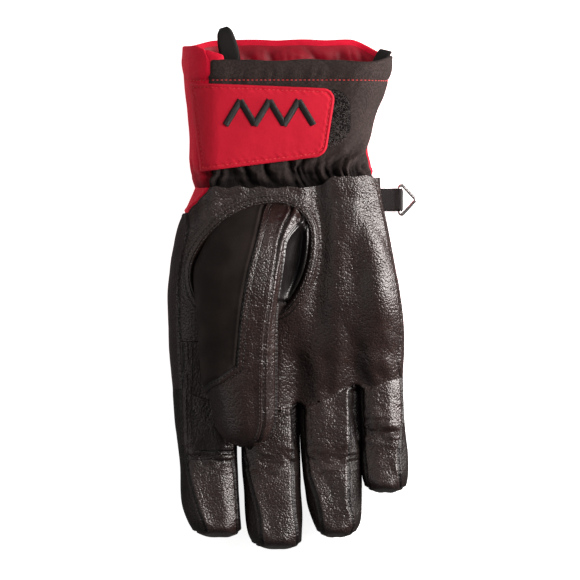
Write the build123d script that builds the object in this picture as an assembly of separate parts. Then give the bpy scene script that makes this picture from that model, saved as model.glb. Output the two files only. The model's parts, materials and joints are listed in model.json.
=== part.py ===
"""Insulated five-finger ski glove for the right hand, lying on its back with the palm up.

Frame: millimetres, +X towards the little finger, +Y towards the cuff, +Z out of the palm.
The origin is on the flat back of the hand, under the middle of the palm.
"""

import os
from math import cos, radians, sin

from build123d import *

os.makedirs("parts", exist_ok=True)

# Layers of the hand, measured inwards from the outer surface.
LEATHER = (0.0, 1.4)
INSULATION = (1.5, 4.2)
MEMBRANE = (4.3, 4.7)
LINING = (4.8, 5.8)
THUMB_INSULATION = (1.5, 3.4)
THUMB_LINING = (3.5, 4.5)
# Layers of the cuff.
CUFF_CLOTH = (0.0, 1.1)
HEM_FOLD = (1.2, 2.1)
ELASTIC = (1.2, 2.4)
CUFF_LINING = (2.5, 3.3)
# Layers that lie on the outside. A negative depth stands proud of the surface.
WELT = (-1.2, -0.05)
LOOP_PATCH = (-1.2, -0.05)
HOOK_PATCH = (-2.0, -1.5)
TAB_CLOTH = (-3.3, -2.05)
EMBLEM = (-4.0, -3.35)

# Cross-sections of hand and cuff: y, centre x, width, lowest z, highest z, corner radius.
HAND_SECTIONS = [
    (-62.0, -3.8, 131.0, -0.2, 31.0, 12.0),
    (-10.0, -5.5, 134.0, -0.2, 44.0, 17.0),
    (35.0, -6.0, 121.0, -0.2, 47.0, 19.0),
    (57.5, -5.0, 107.0, 1.0, 45.0, 18.0),
]
CUFF_SECTIONS = [
    (58.0, -5.0, 107.0, 1.0, 45.0, 18.0),
    (70.0, -7.7, 103.0, 2.0, 44.0, 18.0),
    (95.0, -7.7, 108.0, 1.0, 47.0, 19.0),
    (150.0, -3.0, 126.0, 0.0, 54.0, 22.0),
]
CUFF_RIM_PALM_Y = 133.0
CUFF_RIM_BACK_Y = 144.0
CUFF_SIDE_SEAM_Z = 24.0
CUFF_RED_WRAP_X = -49.0
HEM_STITCH_Y = 119.6
ELASTIC_Y = (60.0, 68.0)
BACK_SEAM_Z = 11.0
REST_Z = 0.0
PALM_SEAM_Z = (19.0, 29.0)  # at the first and the last hand section

# Thumb: y, centre x, width, lowest z, highest z, corner radius.
THUMB_SECTIONS = [
    (44.0, -14.0, 30.0, 48.4, 60.0, 4.5),
    (32.0, -18.0, 50.0, 49.0, 67.0, 7.0),
    (0.0, -32.5, 46.0, 47.5, 72.0, 10.0),
    (-34.0, -34.0, 40.0, 41.5, 67.0, 10.0),
    (-66.0, -32.0, 32.0, 34.5, 60.0, 10.0),
    (-84.0, -31.5, 25.0, 35.0, 57.0, 9.0),
    (-90.0, -31.0, 16.0, 38.0, 53.0, 6.0),
]
THUMB_HOLE = (-26.0, 14.0, 30.0, 40.0)  # centre x, centre y, width, length of the oval
THUMB_WELT = (-22.0, 14.0, 62.0, 72.0)  # the outside of the seam round the thumb's base
THUMB_WELT_WIDTH = 5.0
THUMB_SEAM_X = -26.5
THUMB_SEAM_LEAN = 8.0
THUMB_CAP_Y = -52.0
THUMB_SIDE_SEAM_Z = 55.0
THUMB_HOLE_TOP_Z = 56.0

# Fingers: name, centre x at the root, width, height, y of the middle joint, length past it.
FINGERS = [
    ("index", -52.7, 33.0, 29.0, -99.0, 44.0),
    ("middle", -16.8, 33.4, 29.5, -101.0, 48.5),
    ("ring", 18.0, 32.6, 28.5, -99.0, 44.4),
    ("little", 48.6, 26.0, 25.5, -84.0, 33.4),
]
FINGER_LEAN = 4.0
FINGER_ROOT_Y = -63.8
FINGER_ROOT_Z = 15.2
ROOT_PITCH = 1.5
TIP_PITCH = 7.0
FINGER_CORNER = 10.5
FINGERTIP_ROUND = 8.5
PANEL_EDGE = 7.0
JOINT_GAP = 0.5
PATCH_LENGTH = 33.0

# Closure tab outline in plan, and the loop patch under it.
TAB_CORNERS = [(-61.0, 119.0), (23.4, 115.2), (17.3, 76.0), (-54.0, 68.2)]
TAB_CORNER_RADII = [1.0, 6.5, 8.0, 1.0]
TAB_LOWEST_Z = 34.0
LOOP_PATCH_BOX = (-20.0, 33.5, 79.0, 114.0)  # x from, x to, y from, y to
HOOK_PATCH_BOX = (-16.0, 13.0, 82.0, 111.0)
EMBLEM_PEAKS = 3
EMBLEM_START = (-38.0, 95.0)
EMBLEM_PITCH = 16.0
EMBLEM_HEIGHT = 13.0
EMBLEM_STROKE = 3.2

# Webbing loops.
WEBBING = 1.2
LOOP_DEPTH = 7.6
# Loops inside the cuff's mouth: x and y at the root, centre z, width, length, lean towards +X.
PULL_LOOP = (-35.8, 116.0, 38.5, 14.0, 34.5, -12.5)
LEASH_LOOP = (39.5, 116.0, 29.0, 9.0, 23.0, 14.0)

# Clip strap and its triangular ring.
STRAP_WIDTH = 13.5
STRAP_Y = 51.0
STRAP_START = (46.8, 12.0)  # x, z at the side seam
RING_PIVOT = (60.5, 2.2)  # x, z of the ring's straight side
STRAP_THICK = 2.2
EYE_OUTER_R = 2.1
RING_WIRE_R = 0.9
RING_CLEARANCE = 0.08
RING_SIDE = 20.5
RING_REACH = 9.5
RING_CORNER_R = 1.2

FAR = 400.0


def section(y, centre_x, width, low, high, radius, depth):
    """One rounded-rectangle section across the hand, shrunk by depth all round."""
    plane = Plane((centre_x, y, (low + high) / 2), x_dir=(1, 0, 0), z_dir=(0, -1, 0))
    corner = max(radius - depth, 0.8)
    return plane * RectangleRounded(width - 2 * depth, high - low - 2 * depth, corner)


def lofted(sections, depth):
    """The solid through all sections at that depth under the surface."""
    return loft([section(*s, depth) for s in sections], ruled=True)


def layer(sections, depths):
    """A hollow sleeve between two depths, open at both ends."""
    outer, inner = depths
    return lofted(sections, outer) - lofted(sections, inner)


def block(x=(-FAR, FAR), y=(-FAR, FAR), z=(-FAR, FAR)):
    """An axis-aligned box between three pairs of limits."""
    size = (x[1] - x[0], y[1] - y[0], z[1] - z[0])
    centre = ((x[0] + x[1]) / 2, (y[0] + y[1]) / 2, (z[0] + z[1]) / 2)
    return Pos(*centre) * Box(*size)


def save(name, shape):
    """Writes one sub-part as a STEP file of its solids."""
    solids = shape.solids()
    whole = solids[0] if len(solids) == 1 else Compound(children=list(solids))
    export_step(whole, f"parts/{name}.step")


def upright_oval(centre_x, centre_y, width, length, grow=0.0):
    """An oval cutter through the top of the palm."""
    oval = Ellipse(width / 2 + grow, length / 2 + grow)
    bottom = HAND_SECTIONS[0][4]
    return extrude(Pos(centre_x, centre_y, bottom) * oval, THUMB_HOLE_TOP_Z - bottom)


def hand():
    """Leather, insulation, membrane and lining of the hand between knuckles and wrist."""
    leather = layer(HAND_SECTIONS, LEATHER)
    first, last = HAND_SECTIONS[0][0], HAND_SECTIONS[-1][0]
    rise = (PALM_SEAM_Z[1] - PALM_SEAM_Z[0]) / (last - first)
    outline = [
        (first - 10, PALM_SEAM_Z[0] - 10 * rise),
        (last + 10, PALM_SEAM_Z[1] + 10 * rise),
        (last + 10, FAR),
        (first - 10, FAR),
    ]
    above_seam = extrude(Plane.YZ * make_face(Polyline(*outline, close=True)), FAR, both=True)
    palm_side = leather & above_seam
    below = leather - above_seam
    hole = upright_oval(*THUMB_HOLE)
    save("palm_panel", palm_side - hole)
    save("back_panel", below & block(z=(REST_Z, BACK_SEAM_Z)))
    sides = below & block(z=(BACK_SEAM_Z, FAR))
    save("index_side_panel", sides & block(x=(-FAR, 0)))
    save("little_side_panel", sides & block(x=(0, FAR)))
    for name, depths in (
        ("hand_insulation", INSULATION),
        ("hand_membrane", MEMBRANE),
        ("hand_lining", LINING),
    ):
        save(name, layer(HAND_SECTIONS, depths) - hole)
    ring = upright_oval(*THUMB_WELT) - upright_oval(*THUMB_WELT, grow=-THUMB_WELT_WIDTH)
    save("thumb_welt", layer(HAND_SECTIONS, WELT) & ring)


def cuff():
    """Cuff cloth, hem, wrist elastic, cuff lining and the loop patch on the palm side."""
    palm_z, back_z = CUFF_SECTIONS[-1][4], CUFF_SECTIONS[-1][3]
    slope = (CUFF_RIM_BACK_Y - CUFF_RIM_PALM_Y) / (palm_z - back_z)
    over = 20.0
    outline = [
        (CUFF_RIM_PALM_Y - over * slope, palm_z + over),
        (FAR, palm_z + over),
        (FAR, back_z - over),
        (CUFF_RIM_BACK_Y + over * slope, back_z - over),
    ]
    past_rim = extrude(Plane.YZ * make_face(Polyline(*outline, close=True)), FAR, both=True)
    cloth = layer(CUFF_SECTIONS, CUFF_CLOTH) - past_rim
    palm_region = block(x=(CUFF_RED_WRAP_X, FAR), z=(CUFF_SIDE_SEAM_Z, FAR))
    save("cuff_palm_panel", cloth & palm_region)
    save("cuff_back_panel", cloth - palm_region)
    save("cuff_hem", (layer(CUFF_SECTIONS, HEM_FOLD) - past_rim) & block(y=(HEM_STITCH_Y, FAR)))
    save("cuff_lining", layer(CUFF_SECTIONS, CUFF_LINING) - past_rim)
    save("wrist_elastic", layer(CUFF_SECTIONS, ELASTIC) & block(y=ELASTIC_Y))
    x0, x1, y0, y1 = LOOP_PATCH_BOX
    save("loop_patch", layer(CUFF_SECTIONS, LOOP_PATCH) & block((x0, x1), (y0, y1), (TAB_LOWEST_Z, FAR)))


def tab():
    """Closure tab, its hook patch and a plain zigzag emblem, all over the cuff's palm side."""
    outline = FilletPolyline(*TAB_CORNERS, radius=TAB_CORNER_RADII, close=True)
    plan = extrude(Pos(0, 0, TAB_LOWEST_Z) * make_face(outline), 60.0)
    save("closure_tab", layer(CUFF_SECTIONS, TAB_CLOTH) & plan)
    x0, x1, y0, y1 = HOOK_PATCH_BOX
    save("hook_patch", layer(CUFF_SECTIONS, HOOK_PATCH) & block((x0, x1), (y0, y1), (TAB_LOWEST_Z, FAR)))
    x, y = EMBLEM_START
    line = [(x, y)]
    for peak in range(EMBLEM_PEAKS):
        line.append((x + (peak + 0.5) * EMBLEM_PITCH, y + EMBLEM_HEIGHT))
        line.append((x + (peak + 1) * EMBLEM_PITCH, y))
    ends = [(px, py - EMBLEM_STROKE * 1.6) for px, py in reversed(line)]
    zigzag = extrude(Pos(0, 0, TAB_LOWEST_Z) * make_face(Polyline(*line, *ends, close=True)), 60.0)
    save("tab_emblem", layer(CUFF_SECTIONS, EMBLEM) & zigzag)


def webbing_loop(root_x, root_y, centre_z, width, length, lean):
    """A folded webbing loop: a flat ring in its own side plane, as wide as the webbing."""
    outer = SlotOverall(length, LOOP_DEPTH)
    inner = SlotOverall(length - 2 * WEBBING, LOOP_DEPTH - 2 * WEBBING)
    ring = extrude(Plane.YZ * Pos(length / 2, 0) * (outer - inner), width / 2, both=True)
    return Pos(root_x, root_y, centre_z) * Rot(0, 0, -lean) * ring


def loops():
    """The pull loop and the leash loop inside the cuff's mouth."""
    save("pull_loop", webbing_loop(*PULL_LOOP))
    save("leash_loop", webbing_loop(*LEASH_LOOP))


def clip():
    """The clip strap that leaves the little-finger side, and the wire ring in its eye."""
    (x0, z0), (x1, z1) = STRAP_START, RING_PIVOT
    across = Vector(z0 - z1, x1 - x0).normalized() * (STRAP_THICK / 2)
    plan = [
        (x0 + across.X, z0 + across.Y),
        (x1 + across.X, z1 + across.Y),
        (x1 - across.X, z1 - across.Y),
        (x0 - across.X, z0 - across.Y),
    ]
    side = Plane((0, STRAP_Y, 0), x_dir=(1, 0, 0), z_dir=(0, -1, 0))
    flat = make_face(Polyline(*plan, close=True))
    eye = Pos(x1, z1) * Circle(EYE_OUTER_R)
    bore = Pos(x1, z1) * Circle(RING_WIRE_R + RING_CLEARANCE)
    strap = extrude(side * (flat + eye - bore), STRAP_WIDTH / 2, both=True)
    save("clip_strap", strap - lofted(HAND_SECTIONS, -0.1))
    half = RING_SIDE / 2
    corners = [(x1, STRAP_Y - half, z1), (x1 + RING_REACH, STRAP_Y, z1), (x1, STRAP_Y + half, z1)]
    path = FilletPolyline(*corners, radius=RING_CORNER_R, close=True)
    start = Plane(path @ 0, z_dir=path % 0)
    save("clip_ring", sweep(start * Circle(RING_WIRE_R), path))


def finger_plane(origin, pitch):
    """A frame on a finger's axis: local Z runs to the fingertip, local Y out of the palm."""
    lean, tilt = radians(FINGER_LEAN), radians(pitch)
    along = (sin(lean) * cos(tilt), -cos(lean) * cos(tilt), sin(tilt))
    return Plane(origin, x_dir=(cos(lean), sin(lean), 0), z_dir=along)


def finger_frames(root_x, height, joint_y):
    """The frames of a finger's root and tip. The tip's turns about the root's palm-side end."""
    base = finger_plane((root_x, FINGER_ROOT_Y, FINGER_ROOT_Z), ROOT_PITCH)
    reach = (FINGER_ROOT_Y - joint_y) / cos(radians(FINGER_LEAN))
    hinge = base.from_local_coords(Vector(0, height / 2, reach))
    tip = finger_plane(hinge, TIP_PITCH)
    tip = Plane(hinge - tip.y_dir * (height / 2), x_dir=tip.x_dir, z_dir=tip.z_dir)
    return base, tip


def finger_solid(width, height, length, depth, closed):
    """A finger's solid at that depth, along local Z, with a rounded tip if closed."""
    corner = FINGER_CORNER - depth
    plan = RectangleRounded(width - 2 * depth, height - 2 * depth, corner)
    if not closed:
        return extrude(plan, length)
    body = extrude(plan, length - depth)
    return fillet(body.faces().sort_by(Axis.Z)[-1].edges(), FINGERTIP_ROUND - depth)


def finger_layer(width, height, length, depths, closed):
    """A hollow finger sleeve between two depths."""
    return finger_solid(width, height, length, depths[0], closed) - finger_solid(
        width, height, length, depths[1], closed
    )


def fingers():
    """Four fingers, each a fixed root sleeve and a fingertip that curls at the middle joint."""
    root_insulation, root_lining = [], []
    for name, root_x, width, height, joint_y, tip_length in FINGERS:
        base, tip = finger_frames(root_x, height, joint_y)
        root_length = (FINGER_ROOT_Y - joint_y) / cos(radians(FINGER_LEAN)) - JOINT_GAP
        size = (width, height, root_length)
        save(f"{name}_root", base * finger_layer(*size, LEATHER, False))
        root_insulation.append(base * finger_layer(*size, INSULATION, False))
        root_lining.append(base * finger_layer(*size, LINING, False))
        if name == "index":
            patch = finger_layer(*size, WELT, False)
            region = block((-FAR, FAR), (height / 2 - PANEL_EDGE, FAR), (3.0, PATCH_LENGTH))
            save("index_patch", base * (patch & region))

        size = (width, height, tip_length)
        leather = finger_layer(*size, LEATHER, True)
        edge_x, edge_y = width / 2 - PANEL_EDGE, height / 2 - PANEL_EDGE
        front = block(y=(edge_y, FAR)) + block(x=(-edge_x, edge_x), y=(-edge_y, edge_y))
        walls = block(x=(edge_x, FAR), y=(-edge_y, edge_y)) + block(x=(-FAR, -edge_x), y=(-edge_y, edge_y))
        save(f"{name}_tip_palm_side", tip * (leather & front))
        save(f"{name}_tip_back", tip * (leather & block(y=(-FAR, -edge_y))))
        save(f"{name}_tip_fourchettes", tip * (leather & walls))
        save(f"{name}_tip_insulation", tip * finger_layer(*size, INSULATION, True))
        save(f"{name}_tip_lining", tip * finger_layer(*size, LINING, True))
    save("finger_root_insulation", Compound(children=root_insulation))
    save("finger_root_lining", Compound(children=root_lining))


def thumb():
    """The thumb, which lies over the palm, open below to the hand and closed elsewhere."""
    first, last = THUMB_SECTIONS[0][0], THUMB_SECTIONS[-1][0]
    hole = upright_oval(*THUMB_HOLE)

    def solid(depth):
        return lofted(THUMB_SECTIONS, depth) & block(y=(last + depth, first - depth))

    def hollow(depths):
        return solid(depths[0]) - solid(depths[1]) - hole

    leather = hollow(LEATHER)
    seam_y = (first + THUMB_CAP_Y) / 2
    beside_seam = Pos(THUMB_SEAM_X, seam_y, 0) * Rot(0, 0, -THUMB_SEAM_LEAN) * block(x=(-FAR, 0))
    suede_region = beside_seam & block(y=(THUMB_CAP_Y, FAR), z=(THUMB_SIDE_SEAM_Z, FAR))
    save("thumb_suede_panel", leather & suede_region)
    save("thumb_leather", leather - suede_region)
    save("thumb_insulation", hollow(THUMB_INSULATION))
    save("thumb_lining", hollow(THUMB_LINING))


hand()
cuff()
tab()
loops()
clip()
fingers()
thumb()
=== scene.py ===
"""A leather ski glove for the right hand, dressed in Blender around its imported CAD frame.

The frame is in metres: +X towards the little finger, +Y towards the cuff, +Z out of the palm.
Shapes are worked out here in millimetres and turned into metres when a mesh is made.
"""
import json
import math
import random
import bpy
import numpy as np
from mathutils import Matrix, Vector, kdtree, noise
from mathutils.bvhtree import BVHTree


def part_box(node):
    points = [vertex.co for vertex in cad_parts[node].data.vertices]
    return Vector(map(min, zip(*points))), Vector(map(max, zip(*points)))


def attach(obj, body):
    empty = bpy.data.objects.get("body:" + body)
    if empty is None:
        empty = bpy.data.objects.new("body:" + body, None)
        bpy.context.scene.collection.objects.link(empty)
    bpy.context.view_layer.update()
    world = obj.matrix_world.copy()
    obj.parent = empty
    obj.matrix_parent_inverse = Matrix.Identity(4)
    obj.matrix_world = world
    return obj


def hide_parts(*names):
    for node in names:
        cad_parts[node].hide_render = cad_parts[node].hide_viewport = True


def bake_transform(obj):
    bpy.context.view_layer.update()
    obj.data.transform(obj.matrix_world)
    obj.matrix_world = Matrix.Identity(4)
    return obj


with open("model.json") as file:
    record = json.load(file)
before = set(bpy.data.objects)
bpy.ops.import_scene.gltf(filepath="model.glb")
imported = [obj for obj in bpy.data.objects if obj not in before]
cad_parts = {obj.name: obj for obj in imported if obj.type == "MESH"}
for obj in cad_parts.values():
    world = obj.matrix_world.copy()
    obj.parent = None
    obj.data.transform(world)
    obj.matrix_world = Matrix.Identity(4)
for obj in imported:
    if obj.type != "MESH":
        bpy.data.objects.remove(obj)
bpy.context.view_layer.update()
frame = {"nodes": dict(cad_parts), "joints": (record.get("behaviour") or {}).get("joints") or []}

MM = 0.001
FINGER_NAMES = ("index", "middle", "ring", "little")
JOINTS = {j["name"]: j for j in frame["joints"]}
HINGE = {n: np.array(JOINTS[n + "_curl"]["pos_m"]) / MM for n in FINGER_NAMES}
random.seed(7)


# ---------------------------------------------------------------- numbers and curves

def track(table, t):
    """A smooth curve through a table's rows: the first number of each row is where it applies."""
    keys = np.array(table, float)
    order = np.argsort(keys[:, 0])
    keys = keys[order]
    x, v = keys[:, 0], keys[:, 1:]
    t = np.clip(np.asarray(t, float), x[0], x[-1])
    slopes = np.gradient(v, x, axis=0)
    i = np.clip(np.searchsorted(x, t, side="right") - 1, 0, len(x) - 2)
    step = (x[i + 1] - x[i])
    u = (t - x[i]) / step
    u, step = u[..., None], step[..., None]
    return (
        v[i] * (1 + 2 * u) * (1 - u) ** 2
        + slopes[i] * step * u * (1 - u) ** 2
        + v[i + 1] * u * u * (3 - 2 * u)
        + slopes[i + 1] * step * u * u * (u - 1)
    )


def smooth(low, high, t):
    """0 below low, 1 above high, and a smooth step between."""
    u = np.clip((np.asarray(t, float) - low) / (high - low), 0, 1)
    return u * u * (3 - 2 * u)


def bump(t, centre, width):
    """A bell of height 1."""
    return np.exp(-(((np.asarray(t, float) - centre) / width) ** 2))


def wander(points, size, seed=0.0):
    """Smooth noise in -1..1 at each point, with features of that size in millimetres."""
    p = np.asarray(points, float) / size
    return np.array([noise.noise((a + seed, b - seed, c + 2 * seed)) for a, b, c in p])


def uneven(points, layers):
    """Noise in layers, each a height, a size and a seed."""
    return sum(height * wander(points, size, seed) for height, size, seed in layers)


def ridged(points, size, seed):
    """Creased noise: sharp valleys between round ridges, 0 to 1."""
    return np.abs(wander(points, size, seed))


def resample(points, count, closed=False):
    """A polyline's points, spaced evenly along it."""
    p = np.asarray(points, float)
    if closed:
        p = np.vstack([p, p[:1]])
    s = np.concatenate([[0], np.cumsum(np.linalg.norm(np.diff(p, axis=0), axis=1))])
    t = np.linspace(0, s[-1], count + 1 if closed else count)
    out = np.stack([np.interp(t, s, p[:, k]) for k in range(p.shape[1])], axis=1)
    return out[:-1] if closed else out


def curve_through(points, count):
    """A smooth open curve through a few points."""
    p = np.asarray(points, float)
    s = np.concatenate([[0], np.cumsum(np.linalg.norm(np.diff(p, axis=0), axis=1))])
    return resample(track(np.column_stack([s, p]), np.linspace(0, s[-1], 8 * count)), count)


# ---------------------------------------------------------------- meshes

def make_object(name, verts, faces, material=None, normals=None, smooth_shade=True):
    """An object from points in millimetres. Normals, if given, are one for each face corner."""
    mesh = bpy.data.meshes.new(name)
    mesh.from_pydata((np.asarray(verts, float) * MM).tolist(), [], [list(f) for f in faces])
    mesh.update()
    if smooth_shade:
        mesh.polygons.foreach_set("use_smooth", [True] * len(mesh.polygons))
    if normals is not None:
        mesh.normals_split_custom_set(np.asarray(normals, float).tolist())
    if material:
        mesh.materials.append(material)
    obj = bpy.data.objects.new(name, mesh)
    bpy.context.scene.collection.objects.link(obj)
    return obj


def vertex_normals(verts, faces):
    """Area-weighted normals of a quad mesh."""
    f = np.asarray(faces)
    v = np.asarray(verts, float)
    n = np.cross(v[f[:, 2]] - v[f[:, 0]], v[f[:, 3]] - v[f[:, 1]])
    out = np.zeros_like(v)
    for k in range(4):
        np.add.at(out, f[:, k], n)
    return out / np.maximum(np.linalg.norm(out, axis=1, keepdims=True), 1e-12)


class Cage:
    """A coarse quad mesh whose subdivided surface passes through its points."""

    def __init__(self):
        self.points, self.faces, self.tags = [], [], []

    def add(self, point):
        self.points.append([float(c) for c in point])
        return len(self.points) - 1

    def quad(self, a, b, c, d, tag):
        self.faces.append((a, b, c, d))
        self.tags.append(tag)

    def band(self, upper, lower, tags):
        """Quads between two rings of the same length."""
        n = len(upper)
        for i in range(n):
            j = (i + 1) % n
            self.quad(upper[i], lower[i], lower[j], upper[j], tags[i])

    def cap(self, ring, across, deep, centres, tags):
        """Closes a ring of 2 * (across + deep) points with a grid."""
        rows = [[ring[i] for i in range(across + 1)]]
        for k in range(1, deep):
            inner = [self.add(p) for p in centres[k - 1]]
            rows.append([ring[-k]] + inner + [ring[across + k]])
        rows.append([ring[-deep - i] for i in range(across + 1)])
        for k in range(deep):
            for i in range(across):
                self.quad(rows[k][i], rows[k + 1][i], rows[k + 1][i + 1], rows[k][i + 1], tags[k])

    def fitted(self):
        """Control points whose limit surface passes through the given points."""
        n = len(self.points)
        target = np.array(self.points)
        edges, diagonals, edge_use = [set() for _ in range(n)], [[] for _ in range(n)], {}
        for face in self.faces:
            for k in range(4):
                a, b = face[k], face[(k + 1) % 4]
                edges[a].add(b)
                edges[b].add(a)
                diagonals[a].append(face[(k + 2) % 4])
                key = (min(a, b), max(a, b))
                edge_use[key] = edge_use.get(key, 0) + 1
        rim = {}
        for (a, b), used in edge_use.items():
            if used == 1:
                rim.setdefault(a, []).append(b)
                rim.setdefault(b, []).append(a)
        limit = np.zeros((n, n))
        for i in range(n):
            if i in rim:
                limit[i, i] = 4 / 6
                for j in rim[i]:
                    limit[i, j] += 1 / 6
                continue
            valence = len(edges[i])
            whole = valence * (valence + 5)
            limit[i, i] = valence * valence / whole
            for j in edges[i]:
                limit[i, j] += 4 / whole
            for j in diagonals[i]:
                limit[i, j] += 1 / whole
        return np.linalg.solve(limit, target)

    def subdivided(self, levels):
        """Points in millimetres, quads and their tags after that many levels."""
        names = sorted(set(self.tags))
        obj = make_object("cage", self.fitted(), self.faces)
        for _ in names:
            obj.data.materials.append(bpy.data.materials.new("tag"))
        obj.data.polygons.foreach_set("material_index", [names.index(t) for t in self.tags])
        modifier = obj.modifiers.new("subdivide", "SUBSURF")
        modifier.levels = levels
        done = obj.evaluated_get(bpy.context.evaluated_depsgraph_get()).to_mesh()
        verts = np.zeros(len(done.vertices) * 3)
        done.vertices.foreach_get("co", verts)
        loops = np.zeros(len(done.loops), int)
        done.loops.foreach_get("vertex_index", loops)
        index = np.zeros(len(done.polygons), int)
        done.polygons.foreach_get("material_index", index)
        obj.to_mesh_clear()
        bpy.data.objects.remove(obj)
        for m in [m for m in bpy.data.materials if m.name.startswith("tag")]:
            bpy.data.materials.remove(m)
        return verts.reshape(-1, 3) / MM, loops.reshape(-1, 4), [names[i] for i in index]


def seam_edges(faces, tags, sewn):
    """The edges between two differently tagged faces, for which sewn says yes."""
    sides = {}
    for face, tag in zip(faces, tags):
        for k in range(4):
            a, b = int(face[k]), int(face[(k + 1) % 4])
            sides.setdefault((min(a, b), max(a, b)), []).append(tag)
    return [e for e, t in sides.items() if len(t) == 2 and t[0] != t[1] and sewn(t[0], t[1])]


def distance_to(verts, targets):
    """How far each point is from the nearest target, and which target that is."""
    tree = kdtree.KDTree(len(targets))
    for i, p in enumerate(targets):
        tree.insert(p, i)
    tree.balance()
    found = [tree.find(p) for p in verts]
    return np.array([f[2] for f in found]), np.array([f[1] for f in found])


def between(first, second):
    """Says yes to the seam between two tags."""
    return lambda a, b: {a, b} == {first, second}


def nearest_seam(verts, faces, tags, sewn):
    """How far each point is from the nearest seam, and the seam's point there."""
    on_seam = verts[sorted({i for e in seam_edges(faces, tags, sewn) for i in e})]
    far, nearest = distance_to(verts, on_seam)
    return far, on_seam[nearest]


def seam_relief(far, at, along, seam):
    """A groove along each seam and a puckered swell beside it."""
    groove, swell, swell_at, share, pitch, seeds = seam
    wave = np.sin(along * 2 * np.pi / pitch + 5.0 * wander(at, 9.0, seeds[0]))
    pucker = wave * (0.5 + wander(at, 15.0, seeds[1]))
    return swell * bump(far, swell_at, 1.1) * (1 + share * pucker) - groove * bump(far, 0.0, 0.6)


def panel(name, verts, normals, faces, thickness, material):
    """A closed panel: the given faces as its outside, and an inside that deep below."""
    used = np.unique(faces)
    number = {int(v): i for i, v in enumerate(used)}
    outer = verts[used]
    inward = normals[used]
    inner = outer - inward * thickness
    n = len(used)
    out_faces = [[number[int(v)] for v in f] for f in faces]
    in_faces = [[v + n for v in reversed(f)] for f in out_faces]
    count = {}
    for f in out_faces:
        for k in range(4):
            a, b = f[k], f[(k + 1) % 4]
            count[(a, b)] = count.get((a, b), 0) + 1
    rim = [(a, b) for (a, b) in count if (b, a) not in count]
    side_faces = [[b, a, a + n, b + n] for a, b in rim]
    all_verts = np.vstack([outer, inner])
    loops = [inward[v] for f in out_faces for v in f]
    loops += [-inward[v - n] for f in in_faces for v in f]
    for b, a, a_in, _ in side_faces:
        edge = all_verts[b] - all_verts[a]
        side = np.cross(edge, all_verts[a_in] - all_verts[a])
        side = side / max(np.linalg.norm(side), 1e-9)
        loops += [side] * 4
    return make_object(name, all_verts, out_faces + in_faces + side_faces, material, loops)


# ---------------------------------------------------------------- the hand's shell

# across the hand: y, index edge, the three finger boundaries, little edge, back z, palm z, corner
HAND_OUTLINE = [
    (57.5, -56.6, -31.5, -5.5, 22.0, 48.3, 1.5, 44.5, 15.0),
    (50.0, -60.2, -31.5, -5.0, 22.5, 49.6, 1.0, 45.5, 16.0),
    (42.0, -64.4, -33.0, -4.5, 23.5, 51.6, 0.3, 46.5, 17.0),
    (27.0, -68.4, -34.5, -3.5, 25.5, 54.6, 0.0, 47.0, 18.0),
    (10.0, -71.6, -35.0, -2.5, 28.0, 57.8, 0.0, 46.5, 18.0),
    (-7.0, -73.0, -34.5, -1.0, 30.5, 60.6, 0.0, 44.5, 17.0),
    (-24.0, -72.3, -33.5, 0.5, 33.0, 62.4, 0.0, 39.6, 15.5),
    (-45.0, -71.2, -32.2, 1.3, 35.0, 62.6, 0.0, 33.6, 13.0),
    (-62.0, -70.2, -31.6, 1.7, 35.8, 62.4, 0.3, 30.6, 11.0),
]
HAND_ROWS = [57.5, 50.5, 43.5, 36.0, 27.0, 18.0, 9.0, 0.0, -9.0, -18.0, -27.0, -36.0, -44.5]
WRIST_RISE = 6.0
CROTCH_Y = [-58.0, -66.0, -66.0, -56.0, -51.0]
CROTCH_TOP, WEB_TOP, WEB_LOW, CROTCH_LOW = 9.8, 3.6, -3.2, -8.6
ROOT_STEP, ROOT_SINK = 3.2, 3.8
INDEX_SEAM_IN, LITTLE_SEAM_IN, BACK_SEAM_IN = 6.0, 2.0, 4.0
# each finger: y, left edge, right edge, palm seam's inset at the left and at the right
FINGER_OUTLINE = {
    "index": [
        (-60.0, -70.3, -31.7, 5.5, 2.0), (-82.0, -68.4, -33.0, 4.6, 2.0),
        (-99.0, -66.4, -33.6, 3.8, 2.0), (-112.0, -65.7, -32.8, 6.0, 1.8),
        (-124.0, -64.9, -32.0, 8.6, 1.6), (-134.0, -61.4, -31.5, 8.6, 1.6),
        (-142.6, -54.5, -33.0, 5.0, 1.2),
    ],
    "middle": [
        (-66.0, -31.4, 1.5, 2.0, 3.4), (-80.0, -31.4, 2.3, 1.8, 4.2),
        (-99.0, -30.5, 2.8, 2.2, 4.2), (-117.0, -29.2, 3.1, 5.1, 4.4),
        (-130.0, -28.2, 3.9, 7.6, 4.2), (-140.0, -26.8, 4.1, 7.2, 3.0),
        (-149.4, -20.5, 1.4, 3.5, 1.4),
    ],
    "ring": [
        (-66.0, 1.9, 37.2, 3.0, 5.8), (-80.0, 2.7, 38.2, 3.0, 7.0),
        (-104.0, 4.4, 37.9, 3.2, 6.8), (-118.0, 6.4, 38.1, 5.6, 7.6),
        (-128.0, 8.4, 37.8, 6.0, 6.2), (-136.0, 11.4, 36.6, 4.4, 3.2),
        (-143.2, 16.0, 31.0, 1.6, 1.2),
    ],
    "little": [
        (-56.0, 36.0, 62.4, 3.2, 1.5), (-76.0, 37.3, 62.9, 2.4, 1.6),
        (-88.0, 38.1, 64.0, 2.0, 4.0), (-99.0, 38.1, 64.9, 2.2, 5.6),
        (-108.0, 38.8, 64.7, 2.2, 4.6), (-112.5, 40.4, 63.8, 2.0, 3.0),
        (-117.4, 44.0, 60.4, 1.4, 1.0),
    ],
}
FINGER_HEIGHT = {"index": 29.0, "middle": 29.5, "ring": 28.5, "little": 25.5}
FINGER_ROOT_Z = 15.2
ROOT_RISE, TIP_RISE = math.tan(math.radians(1.5)), math.tan(math.radians(7.0))
FINGER_CORNER = 9.5
TIP_ROUND = 8.5
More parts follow.
